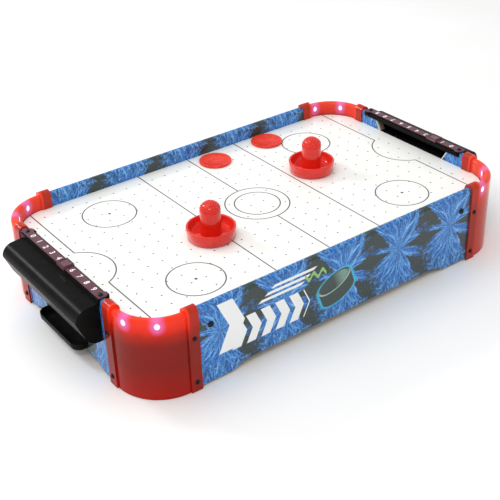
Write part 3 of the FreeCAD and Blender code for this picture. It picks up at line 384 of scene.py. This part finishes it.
def filmMaterial(name, alongAxis, acrossMiddle, graphic=False):
    # printed PVC film on MDF: smooth gloss over a busy blue print, raw brown fibre where the film stops
    material, tree, place = newMaterial(name)
    axes = addNode(tree, "SeparateXYZ", {0: place})
    along, across = (axes["X"], axes["Y"]) if alongAxis == "X" else (axes["Y"], axes["X"])
    outward = addNode(tree, "Math", {0: across}, operation="ABSOLUTE")[0]
    outward = addNode(tree, "Math", {0: outward, 1: acrossMiddle}, operation="SUBTRACT")[0]
    # the print is one sheet that runs up the outside, over the rounded top and down inside
    above = addNode(tree, "Math", {0: axes["Z"], 1: boardShape["crown"]}, operation="SUBTRACT")[0]
    lift = addNode(tree, "Math", {0: above, 1: 0.0}, operation="MAXIMUM")[0]
    drop = addNode(tree, "Math", {0: above, 1: 0.0}, operation="MINIMUM")[0]
    angle = addNode(tree, "Math", {0: lift, 1: outward}, operation="ARCTAN2")[0]
    side = addNode(tree, "Math", {0: outward}, operation="SIGN")[0]
    wrapped = addNode(tree, "Math", {0: drop, 1: side}, operation="MULTIPLY")[0]
    wrapped = addNode(tree, "Math", (angle, boardShape["nose"], wrapped), operation="MULTIPLY_ADD")[0]
    height = addNode(tree, "Math", {0: wrapped, 1: boardShape["crown"]}, operation="ADD")[0]
    sheet = addNode(tree, "CombineXYZ", {0: along, 1: height})["Vector"]
    printed = filmPrint(tree, sheet)
    if graphic:
        printed = frontGraphic(tree, sheet, printed)

    # raw fibre board inside below the field, on the undersides and in the screw holes
    facing = addNode(tree, "SeparateXYZ", {0: addNode(tree, "NewGeometry")["Normal"]})
    insideFace = 0.0001 - boardShape["nose"]
    inner = addNode(tree, "Math", (outward, insideFace), operation="LESS_THAN")[0]
    low = addNode(tree, "Math", (axes["Z"], boardShape["fieldUnder"]), operation="LESS_THAN")[0]
    hidden = addNode(tree, "Math", {0: inner, 1: low}, operation="MULTIPLY")[0]
    under = addNode(tree, "Math", {0: facing["Z"], 1: -0.3}, operation="LESS_THAN")[0]
    raw = addNode(tree, "Math", {0: hidden, 1: under}, operation="MAXIMUM")[0]
    fibre = addNode(tree, "TexNoise", {"Vector": place, "Scale": 420.0, "Detail": 4.0})[0]
    tones = list(zip((0.3, 0.7), filmLook["fibre"]))
    fibreColour = addNode(tree, "ValToRGB", {0: fibre}, stops=tones)["Color"]
    colour = addNode(tree, "Mix", {"Factor": raw, "A": printed, "B": fibreColour}, data_type="RGBA")["Result"]
    if alongAxis == "Y":
        # the goal mouth: pale edging on its slanted ends, near-black on its sill
        look = mouthLook
        run = addNode(tree, "Math", (along,), operation="ABSOLUTE")[0]
        near = addNode(tree, "Math", (run, look["reach"]), operation="LESS_THAN")[0]
        high = addNode(tree, "Math", (axes["Z"], look["low"]), operation="GREATER_THAN")[0]
        mouth = addNode(tree, "Math", (near, high), operation="MULTIPLY")[0]
        steep = addNode(tree, "Math", (facing["Y"],), operation="ABSOLUTE")[0]
        steep = addNode(tree, "Math", (steep, 0.5), operation="GREATER_THAN")[0]
        sill = addNode(tree, "Math", (facing["Z"], 0.9), operation="GREATER_THAN")[0]
        depth = addNode(tree, "MapRange", (outward, -boardShape["nose"], boardShape["nose"]))[0]
        trim = addNode(tree, "ValToRGB", {0: depth}, stops=list(zip((0.2, 0.32), look["trim"])))["Color"]
        slant = addNode(tree, "Math", (axes["Z"], -look["slope"], run), operation="MULTIPLY_ADD")[0]
        edge = addNode(tree, "Math", (axes["Z"], look["high"]), operation="LESS_THAN")[0]
        past = addNode(tree, "Math", (slant, look["edge"][0]), operation="GREATER_THAN")[0]
        short = addNode(tree, "Math", (slant, look["edge"][1]), operation="LESS_THAN")[0]
        for mask in (past, short, inner):
            edge = addNode(tree, "Math", (edge, mask), operation="MULTIPLY")[0]
        for mask, shade in ((steep, trim), (edge, linearColour(look["edgeColour"])),
                            (sill, linearColour(look["sill"]))):
            masked = addNode(tree, "Math", (mask, mouth), operation="MULTIPLY")[0]
            colour = addNode(tree, "Mix", {"Factor": masked, "A": colour, "B": shade},
                             data_type="RGBA")["Result"]
    rough = addNode(tree, "MapRange", {0: raw, 3: 0.24, 4: 0.85})[0]
    coat = addNode(tree, "MapRange", {0: raw, 3: 0.5, 4: 0.0})[0]
    grainHeight = addNode(tree, "Math", {0: fibre, 1: raw}, operation="MULTIPLY")[0]
    bump = addNode(tree, "Bump", {"Height": grainHeight, "Strength": 0.5, "Distance": 0.0004})["Normal"]
    surface = addNode(tree, "BsdfPrincipled", {"Base Color": colour, "Roughness": rough, "Coat Weight": coat,
                                               "Specular IOR Level": 0.15, "Coat Roughness": 0.08,
                                               "Normal": bump})[0]
    finishMaterial(tree, surface)
    return material


paint("side_board_front", filmMaterial("printedFilmFront", "X", boardShape["longMiddle"], graphic=True))
paint("side_board_back", filmMaterial("printedFilmBack", "X", boardShape["longMiddle"]))
endFilm = filmMaterial("printedFilmEnd", "Y", boardShape["endMiddle"])
for node in ("end_board_left", "end_board_right"):
    paint(node, endFilm)
print("boards wrapped")


# ---- corners: translucent red plastic, with the light of the lamps inside painted on

shellLook = {
    # the reds by height: painted light bright orange-red near the top, painted shade darker at mid-height
    # over the boards
    "shades": [(0.0, "#a8180c"), (0.16, "#98180e"), (0.38, "#84190f"), (0.64, "#861a10"), (0.76, "#b0200f"),
               (0.83, "#e02a14"), (1.0, "#f03c22")],
    "glowHeight": 0.0883, "coreReach": 0.0055, "coreSoft": 0.0009, "glowReach": 0.0108, "upright": 0.80,
    "core": "#ffffff", "halo": "#c98cf0", "lampRadius": 0.0018, "boardEnds": (0.2035, 0.1035),
    # painted shade: the darker red for the collars over the boards and how strongly it covers; painted light:
    # the lighter red for more brightly lit corners
    "boardShade": "#8c2418", "boardShading": 0.7, "lift": "#d8503f", "tall": 0.099, "drift": 0.007,
    # how strongly each part is lit; the lit band under the top is in shares of the shell's height
    "haloTint": 0.42, "litBand": (0.6, 0.9), "litStrength": 0.12, "haloStrength": 0.1, "coreStrength": 0.9,
    # painted light: how far each corner's reds are lightened, as more light falls on that corner
    "lifted": {"front_right": 0.5, "back_right": 0.4, "back_left": 0.4, "front_left": 0.0},
}


def shellMaterial(corner):
    # injection-moulded translucent polystyrene over lamps, with painted light: bright orange-red on top,
    # painted-shade brown-red over the boards, and the lamps' glow as emission
    material, tree, place = newMaterial("translucentRedPolystyrene_" + corner)
    look = shellLook
    axes = addNode(tree, "SeparateXYZ", {0: place})
    cloud = addNode(tree, "TexNoise", {"Vector": place, "Scale": 26.0, "Detail": 2.0})[0]
    drift = addNode(tree, "MapRange", {0: cloud, 3: -look["drift"], 4: look["drift"]})[0]
    level = addNode(tree, "Math", {0: axes["Z"], 1: drift}, operation="ADD")[0]
    # painted light and shade by height: bright orange-red at the top, darker brown-red at mid-height where
    # the boards block the lamps' light
    share = addNode(tree, "MapRange", (level, 0.0, look["tall"]))[0]
    colour = addNode(tree, "ValToRGB", {0: share}, stops=look["shades"])["Color"]
    # painted light: each corner lightened towards a brighter red by how much light falls on it
    colour = addNode(tree, "Mix", {"Factor": look["lifted"][corner], "A": colour,
                                   "B": linearColour(look["lift"])}, data_type="RGBA")["Result"]
    # painted shade: the collars are darkened towards brown-red where they lie over the printed boards, which
    # block the lamps' light
    folded = addNode(tree, "VectorMath", {0: place}, operation="ABSOLUTE")["Vector"]
    sides = addNode(tree, "SeparateXYZ", {0: folded})
    covers = [addNode(tree, "MapRange", (sides[axis], start - 0.0015, start - 0.0035))[0]
              for axis, start in zip("XY", look["boardEnds"])]
    cover = addNode(tree, "Math", {0: covers[0], 1: covers[1]}, operation="MAXIMUM")[0]
    cover = addNode(tree, "Math", (cover, look["boardShading"]), operation="MULTIPLY")[0]
    colour = addNode(tree, "Mix", {"Factor": cover, "A": colour, "B": linearColour(look["boardShade"])},
                     data_type="RGBA")["Result"]
    low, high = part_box("led_lamps_" + corner)
    near = Vector((min(abs(low.x), abs(high.x)), min(abs(low.y), abs(high.y)), 0))
    far = Vector((max(abs(low.x), abs(high.x)), max(abs(low.y), abs(high.y)), 0))
    inset = look["lampRadius"]
    away = None
    for lamp in ((far.x - inset, near.y + inset), (near.x + inset, far.y - inset)):
        offset = addNode(tree, "VectorMath", {0: folded, 1: (*lamp, look["glowHeight"])},
                         operation="SUBTRACT")["Vector"]
        squat = addNode(tree, "VectorMath", (offset, (1, 1, look["upright"])), operation="MULTIPLY")["Vector"]
        reach = addNode(tree, "VectorMath", {0: squat}, operation="LENGTH")["Value"]
        away = reach if away is None else addNode(tree, "Math", {0: away, 1: reach}, operation="MINIMUM")[0]
    # painted glow: the lamps' light painted on the shell round each lamp as a violet halo and a white core,
    # also given as emission
    halo = addNode(tree, "MapRange", {0: away, 1: look["glowReach"], 2: look["coreReach"] - 0.001},
                   interpolation_type="SMOOTHSTEP")[0]
    core = addNode(tree, "MapRange", (away, look["coreReach"], look["coreReach"] - look["coreSoft"]))[0]
    tint = addNode(tree, "Math", (halo, look["haloTint"]), operation="MULTIPLY")[0]
    glowing = addNode(tree, "Mix", {"Factor": tint, "A": colour, "B": linearColour(look["halo"])},
                      data_type="RGBA")["Result"]
    hot = addNode(tree, "Mix", {"Factor": core, "A": glowing, "B": linearColour(look["core"])},
                  data_type="RGBA")["Result"]
    # painted light: a glow emitted in the band under the top of the shell
    lit = addNode(tree, "MapRange", (share, *look["litBand"], 0.0, look["litStrength"]))[0]
    litHalo = addNode(tree, "Math", (halo, look["haloStrength"], lit), operation="MULTIPLY_ADD")[0]
    strength = addNode(tree, "Math", (core, look["coreStrength"], litHalo), operation="MULTIPLY_ADD")[0]
    wave = addNode(tree, "TexNoise", {"Vector": place, "Scale": 30.0, "Detail": 1.0})[0]
    bump = addNode(tree, "Bump", {"Height": wave, "Strength": 0.12, "Distance": 0.001})["Normal"]
    plastic = addNode(tree, "BsdfPrincipled", {
        "Base Color": hot, "Roughness": 0.16, "IOR": 1.59, "Specular IOR Level": 0.13,
        "Emission Color": hot, "Emission Strength": strength, "Normal": bump})[0]
    finishMaterial(tree, plastic)
    return material


for corner in ("back_right", "back_left", "front_left", "front_right"):
    paint("corner_shell_" + corner, shellMaterial(corner))
print("corners lit")


# ---- mouldings, metals and woods

def mouldedMaterial(name, colours, roughness, grit, bumpDepth, coat=0.0, speckScale=90.0, shine=0.3):
    # injection-moulded plastic: colours drift slightly, and grit is the size of the mould's texture in metres
    material, tree, place = newMaterial(name)
    cloud = addNode(tree, "TexNoise", {"Vector": place, "Scale": speckScale, "Detail": 3.0})[0]
    colour = addNode(tree, "ValToRGB", {0: cloud}, stops=[(0.3, colours[0]), (0.7, colours[1])])["Color"]
    grain = addNode(tree, "TexNoise", {"Vector": place, "Scale": 1 / grit, "Detail": 2.0})[0]
    rough = addNode(tree, "MapRange", {0: grain, 1: 0.3, 2: 0.7, 3: roughness * 0.85, 4: roughness * 1.2})[0]
    bump = addNode(tree, "Bump", {"Height": grain, "Strength": 0.25, "Distance": bumpDepth})["Normal"]
    surface = addNode(tree, "BsdfPrincipled", {"Base Color": colour, "Roughness": rough, "Coat Weight": coat,
                                               "Coat Roughness": 0.1, "Specular IOR Level": shine,
                                               "Normal": bump})[0]
    finishMaterial(tree, surface)
    return material


def metalMaterial(name, colours, roughness, streak):
    # drawn or plated metal: fine streaks across the light
    material, tree, place = newMaterial(name)
    drawn = addNode(tree, "Mapping", {"Vector": place, "Scale": streak})["Vector"]
    grain = addNode(tree, "TexNoise", {"Vector": drawn, "Scale": 900.0, "Detail": 2.0})[0]
    colour = addNode(tree, "ValToRGB", {0: grain}, stops=[(0.3, colours[0]), (0.7, colours[1])])["Color"]
    rough = addNode(tree, "MapRange", {0: grain, 3: roughness * 0.7, 4: roughness * 1.3})[0]
    surface = addNode(tree, "BsdfPrincipled", {"Base Color": colour, "Roughness": rough, "Metallic": 1.0})[0]
    finishMaterial(tree, surface)
    return material


def woodMaterial(name, colours, grainAlong, scale, roughness):
    # sawn softwood or pressed board: fibres run along the longest side
    material, tree, place = newMaterial(name)
    stretched = addNode(tree, "Mapping", {"Vector": place, "Scale": grainAlong})["Vector"]
    fibre = addNode(tree, "TexNoise", {"Vector": stretched, "Scale": scale, "Detail": 6.0,
                                       "Roughness": 0.65})[0]
    colour = addNode(tree, "ValToRGB", {0: fibre},
                     stops=[(0.3, colours[0]), (0.5, colours[1]), (0.7, colours[2])])["Color"]
    bump = addNode(tree, "Bump", {"Height": fibre, "Strength": 0.4, "Distance": 0.0004})["Normal"]
    surface = addNode(tree, "BsdfPrincipled", {"Base Color": colour, "Roughness": roughness,
                                               "Normal": bump})[0]
    finishMaterial(tree, surface)
    return material


blackGloss = mouldedMaterial("blackAbsGloss", ("#0b0c0b", "#131413"), 0.3, 0.0006, 0.00002, shine=0.05)
blackMatte = mouldedMaterial("blackAbsSpark", ("#111212", "#1a1b1b"), 0.5, 0.0007, 0.00006)
plumPlastic = mouldedMaterial("plumPolystyrenePrinted", ("#5c3641", "#68424d"), 0.34, 0.0009, 0.00002)
paleNylon = mouldedMaterial("whiteNylonMoulded", ("#d9d8d0", "#e6e5de"), 0.42, 0.0008, 0.00004)
redKnob = mouldedMaterial("redAbsKnob", ("#a3160f", "#b51d14"), 0.35, 0.0006, 0.00003)
solderMask = mouldedMaterial("greenSolderMask", ("#0f4a26", "#175c31"), 0.3, 0.0012, 0.00003)
leadBlack = mouldedMaterial("blackPvcLead", ("#151515", "#1f1f1f"), 0.45, 0.0008, 0.00003)
leadRed = mouldedMaterial("redPvcLead", ("#8e1511", "#a51b15"), 0.45, 0.0008, 0.00003)
blackScrew = mouldedMaterial("blackOxideSteel", ("#0b0b0c", "#151516"), 0.25, 0.0005, 0.00003, coat=0.1,
                              shine=0.2)
zincScrew = metalMaterial("zincPlatedSteel", ("#8d8f90", "#c5c6c3"), 0.32, (1, 1, 1))
motorSteel = metalMaterial("platedMotorCan", ("#7f8385", "#b9bcbd"), 0.28, (1, 1, 0.08))
groundSteel = metalMaterial("groundSteelShaft", ("#a5a8aa", "#d7d9da"), 0.2, (1, 1, 0.05))
nickel = metalMaterial("nickelPlatedSpring", ("#b3ae9f", "#dcd8cb"), 0.25, (1, 1, 1))
sawnPine = woodMaterial("sawnPine", ("#a98450", "#c7a06a", "#dab983"), (0.12, 1, 1), 260.0, 0.8)
sawnPineAcross = woodMaterial("sawnPineAcross", ("#a98450", "#c7a06a", "#dab983"), (1, 0.12, 1), 260.0, 0.8)
hardboard = woodMaterial("pressedHardboard", ("#5a3f28", "#6d4d33", "#7f5e40"), (1, 1, 1), 520.0, 0.75)
feltBlack = woodMaterial("blackWoolFelt", ("#121212", "#1d1d1d", "#2b2b2b"), (1, 1, 1), 900.0, 0.98)


cellLook = {"ends": (0.095, 0.145), "foil": "#b9bcbd", "sleeve": "#23282e", "band": "#b0703a"}


def cellMaterial():
    # shrink-wrapped cell: dark sleeve with a plain copper-coloured band at its plus end
    material, tree, place = newMaterial("cellSleeve")
    x = addNode(tree, "SeparateXYZ", {0: place})["X"]
    share = addNode(tree, "MapRange", (x, *cellLook["ends"]))[0]
    foil, sleeve, band = cellLook["foil"], cellLook["sleeve"], cellLook["band"]
    stops = [(0.0, foil), (0.03, sleeve), (0.30, band), (0.72, sleeve), (0.97, foil)]
    colour = addNode(tree, "ValToRGB", {0: share}, interpolation="CONSTANT", stops=stops)["Color"]
    scuff = addNode(tree, "TexNoise", {"Vector": place, "Scale": 300.0, "Detail": 2.0})[0]
    rough = addNode(tree, "MapRange", {0: scuff, 3: 0.2, 4: 0.4})[0]
    surface = addNode(tree, "BsdfPrincipled", {"Base Color": colour, "Roughness": rough, "Metallic": 0.6})[0]
    finishMaterial(tree, surface)
    return material


lampLook = {"heights": (0.0832, 0.0877), "shades": [(0.0, "#b8a0ff"), (0.6, "#f3ecff"), (1.0, "#ffffff")],
            "strength": 3.0}


def lampMaterial():
    # clear epoxy lamp: violet-white, lit
    material, tree, place = newMaterial("litEpoxyLamp")
    z = addNode(tree, "SeparateXYZ", {0: place})["Z"]
    share = addNode(tree, "MapRange", (z, *lampLook["heights"]))[0]
    colour = addNode(tree, "ValToRGB", {0: share}, stops=lampLook["shades"])["Color"]
    surface = addNode(tree, "BsdfPrincipled", {"Base Color": colour, "Roughness": 0.1,
                                               "Emission Color": colour,
                                               "Emission Strength": lampLook["strength"]})[0]
    finishMaterial(tree, surface)
    return material


finishes = {
    "goal_housing_": blackGloss, "puck_tray_": blackGloss, "score_strip_": plumPlastic,
    "led_board_": solderMask, "led_lamps_": lampMaterial(), "fan_housing": blackMatte,
    "fan_grille": blackMatte, "fan_motor": motorSteel, "fan_shaft": groundSteel,
    "fan_impeller": paleNylon, "battery_box": blackMatte, "battery_door": blackMatte,
    "battery_cells": cellMaterial(), "battery_contacts": nickel, "switch_body": blackMatte,
    "switch_knob": redKnob, "led_wiring": leadBlack, "power_wiring": leadRed,
    "corner_screws": blackScrew, "panel_screws": blackScrew, "strip_screws": blackScrew,
    "tray_screws": blackScrew, "base_screws": zincScrew, "batten_front": sawnPine,
    "batten_back": sawnPine, "batten_left": sawnPineAcross, "batten_right": sawnPineAcross,
    "base_panel": hardboard, "pusher_felt_": feltBlack,
}
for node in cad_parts:
    for start, material in finishes.items():
        if node.startswith(start):
            paint(node, material)
print("finishes laid on", len(finishes), "kinds of piece")


# ---- turned pieces: pushers and pucks

def turnedPiece(rings, sides, centre):
    # a turned solid: a ring of vertices extruded, scaled and lifted from one (radius, height) to the next
    bpy.ops.object.select_all(action="DESELECT")
    firstRadius, firstHeight = rings[0]
    bpy.ops.mesh.primitive_circle_add(vertices=sides, radius=firstRadius, fill_type="NOTHING",
                                      location=centre + Vector((0, 0, firstHeight)))
    piece = bpy.context.object
    bpy.ops.object.mode_set(mode="EDIT")
    bpy.ops.mesh.select_all(action="SELECT")
    radius, height = firstRadius, firstHeight
    for nextRadius, nextHeight in rings[1:]:
        bpy.ops.mesh.extrude_edges_move(TRANSFORM_OT_translate={"value": (0, 0, nextHeight - height)})
        grow = nextRadius / radius
        bpy.ops.transform.resize(value=(grow, grow, 1), center_override=centre)
        radius, height = nextRadius, nextHeight
    bpy.ops.mesh.select_all(action="SELECT")
    bpy.ops.mesh.remove_doubles(threshold=0.00002)
    bpy.ops.mesh.normals_make_consistent(inside=False)
    bpy.ops.object.mode_set(mode="OBJECT")
    return piece


def arcRings(centreRadius, centreHeight, radius, startAngle, endAngle, steps):
    # points on a quarter-round between two angles in degrees, measured from the outward direction
    turns = [math.radians(startAngle + (endAngle - startAngle) * k / steps) for k in range(steps + 1)]
    return [(centreRadius + radius * math.cos(t), centreHeight + radius * math.sin(t)) for t in turns]


pusherLook = {
    "light": "#ea2c1e", "deep": "#dc2013", "sides": 72, "bumpCount": 84, "bumpSize": 0.0011, "bumpReach": 66,
    "rimRadius": 0.0279, "footRadius": 0.0269, "rimHeight": 0.0141, "knobRadius": 0.0118, "knobSide": 0.0346,
    "tall": 0.0435, "felt": 0.0015, "wall": 0.0026, "edge": 0.0009, "goldenTurn": 2.39996,
}
redGloss = mouldedMaterial("redPolystyreneGloss", (pusherLook["deep"], pusherLook["light"]), 0.12, 0.0011,
                           0.00003, coat=0.5, speckScale=30.0, shine=0.25)


def domeRadius():
    # radius of the round cap that spans the knob and rises from its side to the top
    rise = pusherLook["tall"] - pusherLook["knobSide"]
    return (pusherLook["knobRadius"] ** 2 + rise ** 2) / (2 * rise)


def pusherRings():
    look = pusherLook
    rim, foot, wall = look["rimRadius"], look["footRadius"], look["wall"]
    knob, side, tall = look["knobRadius"], look["knobSide"], look["tall"]
    dome = domeRadius()
    sweep = math.degrees(math.asin(knob / dome))
    rings = [(foot - 0.0016, 0.0015), (foot - 0.0016, 0.0008), (foot - 0.0004, 0.0008), (foot, 0.0012)]
    rings += [(foot + (rim - foot) * 0.75, look["rimHeight"] * 0.75)]
    edge = look["edge"]
    rings += arcRings(rim - edge, look["rimHeight"] - edge, edge, 0, 90, 4)
    rings += arcRings(rim - wall + edge, look["rimHeight"] - edge, edge, 90, 180, 4)
    floorHeight = look["felt"] + wall
    rings += [(foot - wall - 0.0004, floorHeight + 0.0012), (foot - wall - 0.0016, floorHeight)]
    rings += [(knob + 0.0014, floorHeight), (knob + 0.0003, floorHeight + 0.0005),
              (knob, floorHeight + 0.0016)]
    rings += [(knob, side - 0.004)]
    rings += [(dome * math.sin(math.radians(a)), tall - dome + dome * math.cos(math.radians(a)))
              for a in [sweep * (1 - k / 9) for k in range(9)]]
    rings += [(0.00002, tall), (0.00002, tall - wall)]
    inner = knob - wall
    rings += [(inner * 0.6, tall - wall - 0.0012), (inner, side), (inner, look["felt"]),
              (foot - 0.0016, look["felt"])]
    return rings


def stippleBumps(centre):
    # small raised beads set in a sunflower over the dome of the knob
    look = pusherLook
    dome, tall = domeRadius(), look["tall"]
    beads = []
    bpy.ops.mesh.primitive_ico_sphere_add(subdivisions=1, radius=look["bumpSize"])
    seedBead = bpy.context.object
    for k in range(look["bumpCount"]):
        fall = math.acos(1 - (k + 0.5) / look["bumpCount"] * (1 - math.cos(math.radians(look["bumpReach"]))))
        turn = k * look["goldenTurn"]
        spot = Vector((math.sin(fall) * math.cos(turn), math.sin(fall) * math.sin(turn), math.cos(fall)))
        bead = seedBead.copy()
        bead.data = seedBead.data.copy()
        bead.location = centre + Vector((0, 0, tall - dome)) + spot * (dome - look["bumpSize"] * 0.25)
        bpy.context.collection.objects.link(bead)
        beads.append(bead)
    bpy.data.objects.remove(seedBead)
    return beads


for end in ("left", "right"):
    node = "pusher_" + end
    low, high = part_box(node)
    foot = Vector(((low.x + high.x) / 2, (low.y + high.y) / 2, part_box("pusher_felt_" + end)[0].z))
    piece = turnedPiece(pusherRings(), pusherLook["sides"], foot)
    beads = stippleBumps(foot)
    bpy.ops.object.select_all(action="DESELECT")
    for bead in beads:
        bead.select_set(True)
    piece.select_set(True)
    bpy.context.view_layer.objects.active = piece
    bpy.ops.object.join()
    bpy.ops.object.shade_smooth_by_angle(angle=math.radians(45))
    settle(piece, "turned_pusher_" + end, redGloss, node)
    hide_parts(node)
print("pushers turned")


puckLook = {
    "light": "#ee4634", "deep": "#de2c1c", "sides": 72, "radius": 0.0204, "thick": 0.0026, "rim": 0.0019,
    "dish": 0.0003,
}
redMatte = mouldedMaterial("redPolystyreneSatin", (puckLook["deep"], puckLook["light"]), 0.26, 0.0013,
                           0.00012, speckScale=160.0, shine=0.25)


def puckRings():
    look = puckLook
    radius, thick, rim = look["radius"], look["thick"], look["rim"]
    inset, dish = radius - rim, look["dish"]
    half = [(0.00002, thick - dish), (inset - 0.0006, thick - dish), (inset, thick)]
    half += [(radius - 0.0006, thick), (radius - 0.00018, thick - 0.00018), (radius, thick - 0.0006)]
    return [(r, z) for r, z in half] + [(r, thick - z) for r, z in reversed(half)]


for end in ("left", "right"):
    node = "puck_" + end
    low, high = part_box(node)
    foot = Vector(((low.x + high.x) / 2, (low.y + high.y) / 2, low.z))
    piece = turnedPiece(puckRings(), puckLook["sides"], foot)
    selectOnly(piece)
    bpy.ops.object.shade_smooth_by_angle(angle=math.radians(35))
    settle(piece, "turned_puck_" + end, redMatte, node)
    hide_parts(node)
print("pucks turned")


# ---- printing: score digits

inkWhite = mouldedMaterial("whiteScreenInk", ("#efe9ea", "#ffffff"), 0.45, 0.0008, 0.00002)

digitLook = {"size": 0.0086, "step": 0.0147, "thick": 0.00004, "gap": 0.00004, "bold": 0.0002,
             "stripMiddle": 0.252}
for end, side in (("left", -1), ("right", 1)):
    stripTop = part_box("score_strip_" + end)[1].z
    digits = []
    for digit in range(10):
        bpy.ops.object.select_all(action="DESELECT")
        bpy.ops.object.text_add()
        figure = bpy.context.object
        figure.data.body = str(digit)
        figure.data.align_x = "CENTER"
        figure.data.align_y = "CENTER"
        figure.data.size = digitLook["size"]
        figure.data.extrude = digitLook["thick"] / 2
        figure.data.resolution_u = 4
        figure.data.offset = digitLook["bold"]
        bpy.ops.object.convert(target="MESH")
        along = (digit - 4.5) * digitLook["step"] * side
        spot = (side * digitLook["stripMiddle"], along, stripTop + digitLook["gap"])
        upright = Euler((0, 0, math.radians(90 * side))).to_matrix().to_4x4()
        figure.matrix_world = Matrix.Translation(spot) @ upright
        digits.append(figure)
    bpy.ops.object.select_all(action="DESELECT")
    for figure in digits:
        figure.select_set(True)
    bpy.context.view_layer.objects.active = digits[0]
    bpy.ops.object.join()
    settle(digits[0], "score_digits_" + end, inkWhite, "table")
print("digits printed")


# ---- score sliders: translucent plum clips with a raised frame round a window

sliderLook = {
    "window": ("#5a3440", "#7a4a5a"), "frame": ("#3a1420", "#4e1c2c"), "frameWidth": 0.0019,
    "frameTall": 0.0008, "sink": 0.0002, "edge": 0.00025,
}
sliderPlastic = mouldedMaterial("translucentPlumStyrene", sliderLook["window"], 0.14, 0.001, 0.00002,
                                shine=0.6)
framePlastic = mouldedMaterial("deepPlumStyrene", sliderLook["frame"], 0.18, 0.001, 0.00002, shine=0.5)
for end in ("left", "right"):
    node = "score_slider_" + end
    paint(node, sliderPlastic)
    low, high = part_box(node)
    bpy.ops.object.select_all(action="DESELECT")
    tall = sliderLook["frameTall"]
    bpy.ops.mesh.primitive_cube_add(size=1, scale=(high.x - low.x, high.y - low.y, tall), location=(
        (low.x + high.x) / 2, (low.y + high.y) / 2, high.z + tall / 2 - sliderLook["sink"]))
    piece = bpy.context.object
    bpy.ops.object.transform_apply(location=False, rotation=False, scale=True)
    bpy.ops.object.mode_set(mode="EDIT")
    bpy.ops.mesh.select_all(action="DESELECT")
    bpy.ops.object.mode_set(mode="OBJECT")
    for face in piece.data.polygons:
        face.select = face.normal.z > 0.5
    bpy.ops.object.mode_set(mode="EDIT")
    bpy.ops.mesh.inset(thickness=sliderLook["frameWidth"], depth=0)
    sunk = tall - sliderLook["sink"] / 2
    bpy.ops.mesh.extrude_region_move(TRANSFORM_OT_translate={"value": (0, 0, -sunk)})
    bpy.ops.object.mode_set(mode="OBJECT")
    soften = piece.modifiers.new("soften", "BEVEL")
    soften.width = sliderLook["edge"]
    soften.segments = 2
    bpy.ops.object.modifier_apply(modifier=soften.name)
    settle(piece, "score_frame_" + end, framePlastic, node)
print("sliders framed")


# ---- floor, light and camera

stageLook = {
    "world": 0.76, "paper": ("#fbfbfa", "#ffffff"),
    # each softbox: where it hangs, how wide it is and how strong
    "softboxes": {"overheadSoftbox": ((-0.5, 0.5, 1.5), 1.3, 7.0),
                  "frontSoftbox": ((-0.9, -0.9, 1.5), 0.3, 4.5),
                  "rearSoftbox": ((-0.9, 1.6, 1.2), 0.35, 11.0)},
}


def studio():
    bpy.ops.object.select_all(action="DESELECT")
    bpy.ops.mesh.primitive_plane_add(size=12, location=(0, 0, -0.0005))
    floor = bpy.context.object
    floor.name = "studio_floor"
    material, tree, place = newMaterial("paleStudioPaper")
    cloud = addNode(tree, "TexNoise", {"Vector": place, "Scale": 3.0, "Detail": 2.0})[0]
    tones = list(zip((0.3, 0.7), stageLook["paper"]))
    colour = addNode(tree, "ValToRGB", {0: cloud}, stops=tones)["Color"]
    surface = addNode(tree, "BsdfPrincipled", {"Base Color": colour, "Roughness": 0.9,
                                               "Specular IOR Level": 0.1})[0]
    finishMaterial(tree, surface)
    floor.data.materials.append(material)

    world = bpy.data.worlds.new("studioWhite")
    world.use_nodes = True
    world.node_tree.nodes["Background"].inputs["Color"].default_value = (1, 1, 1, 1)
    world.node_tree.nodes["Background"].inputs["Strength"].default_value = stageLook["world"]
    bpy.context.scene.world = world

    for name, (place, size, power) in stageLook["softboxes"].items():
        light = bpy.data.lights.new(name, "AREA")
        light.size = size
        light.energy = power
        lamp = bpy.data.objects.new(name, light)
        lamp.location = place
        lamp.rotation_euler = (-Vector(place)).to_track_quat("-Z", "Y").to_euler()
        bpy.context.scene.collection.objects.link(lamp)


cameraLook = {"place": (-0.6081, -0.8190, 0.6377), "turn": -36.02, "tilt": 31.44, "roll": 1.75,
              "lens": 71.757}


def viewCamera():
    look = cameraLook
    lens = bpy.data.cameras.new("tableView")
    lens.sensor_width = 36
    lens.lens = look["lens"]
    lens.clip_end = 50
    camera = bpy.data.objects.new("tableView", lens)
    turn = Matrix.Rotation(math.radians(look["turn"]), 4, "Z") @ Matrix.Rotation(
        math.radians(90 - look["tilt"]), 4, "X") @ Matrix.Rotation(math.radians(-look["roll"]), 4, "Z")
    camera.matrix_world = Matrix.Translation(look["place"]) @ turn
    bpy.context.scene.collection.objects.link(camera)
    bpy.context.scene.camera = camera


studio()
viewCamera()
bpy.context.scene.view_settings.view_transform = "Standard"
print("studio set")
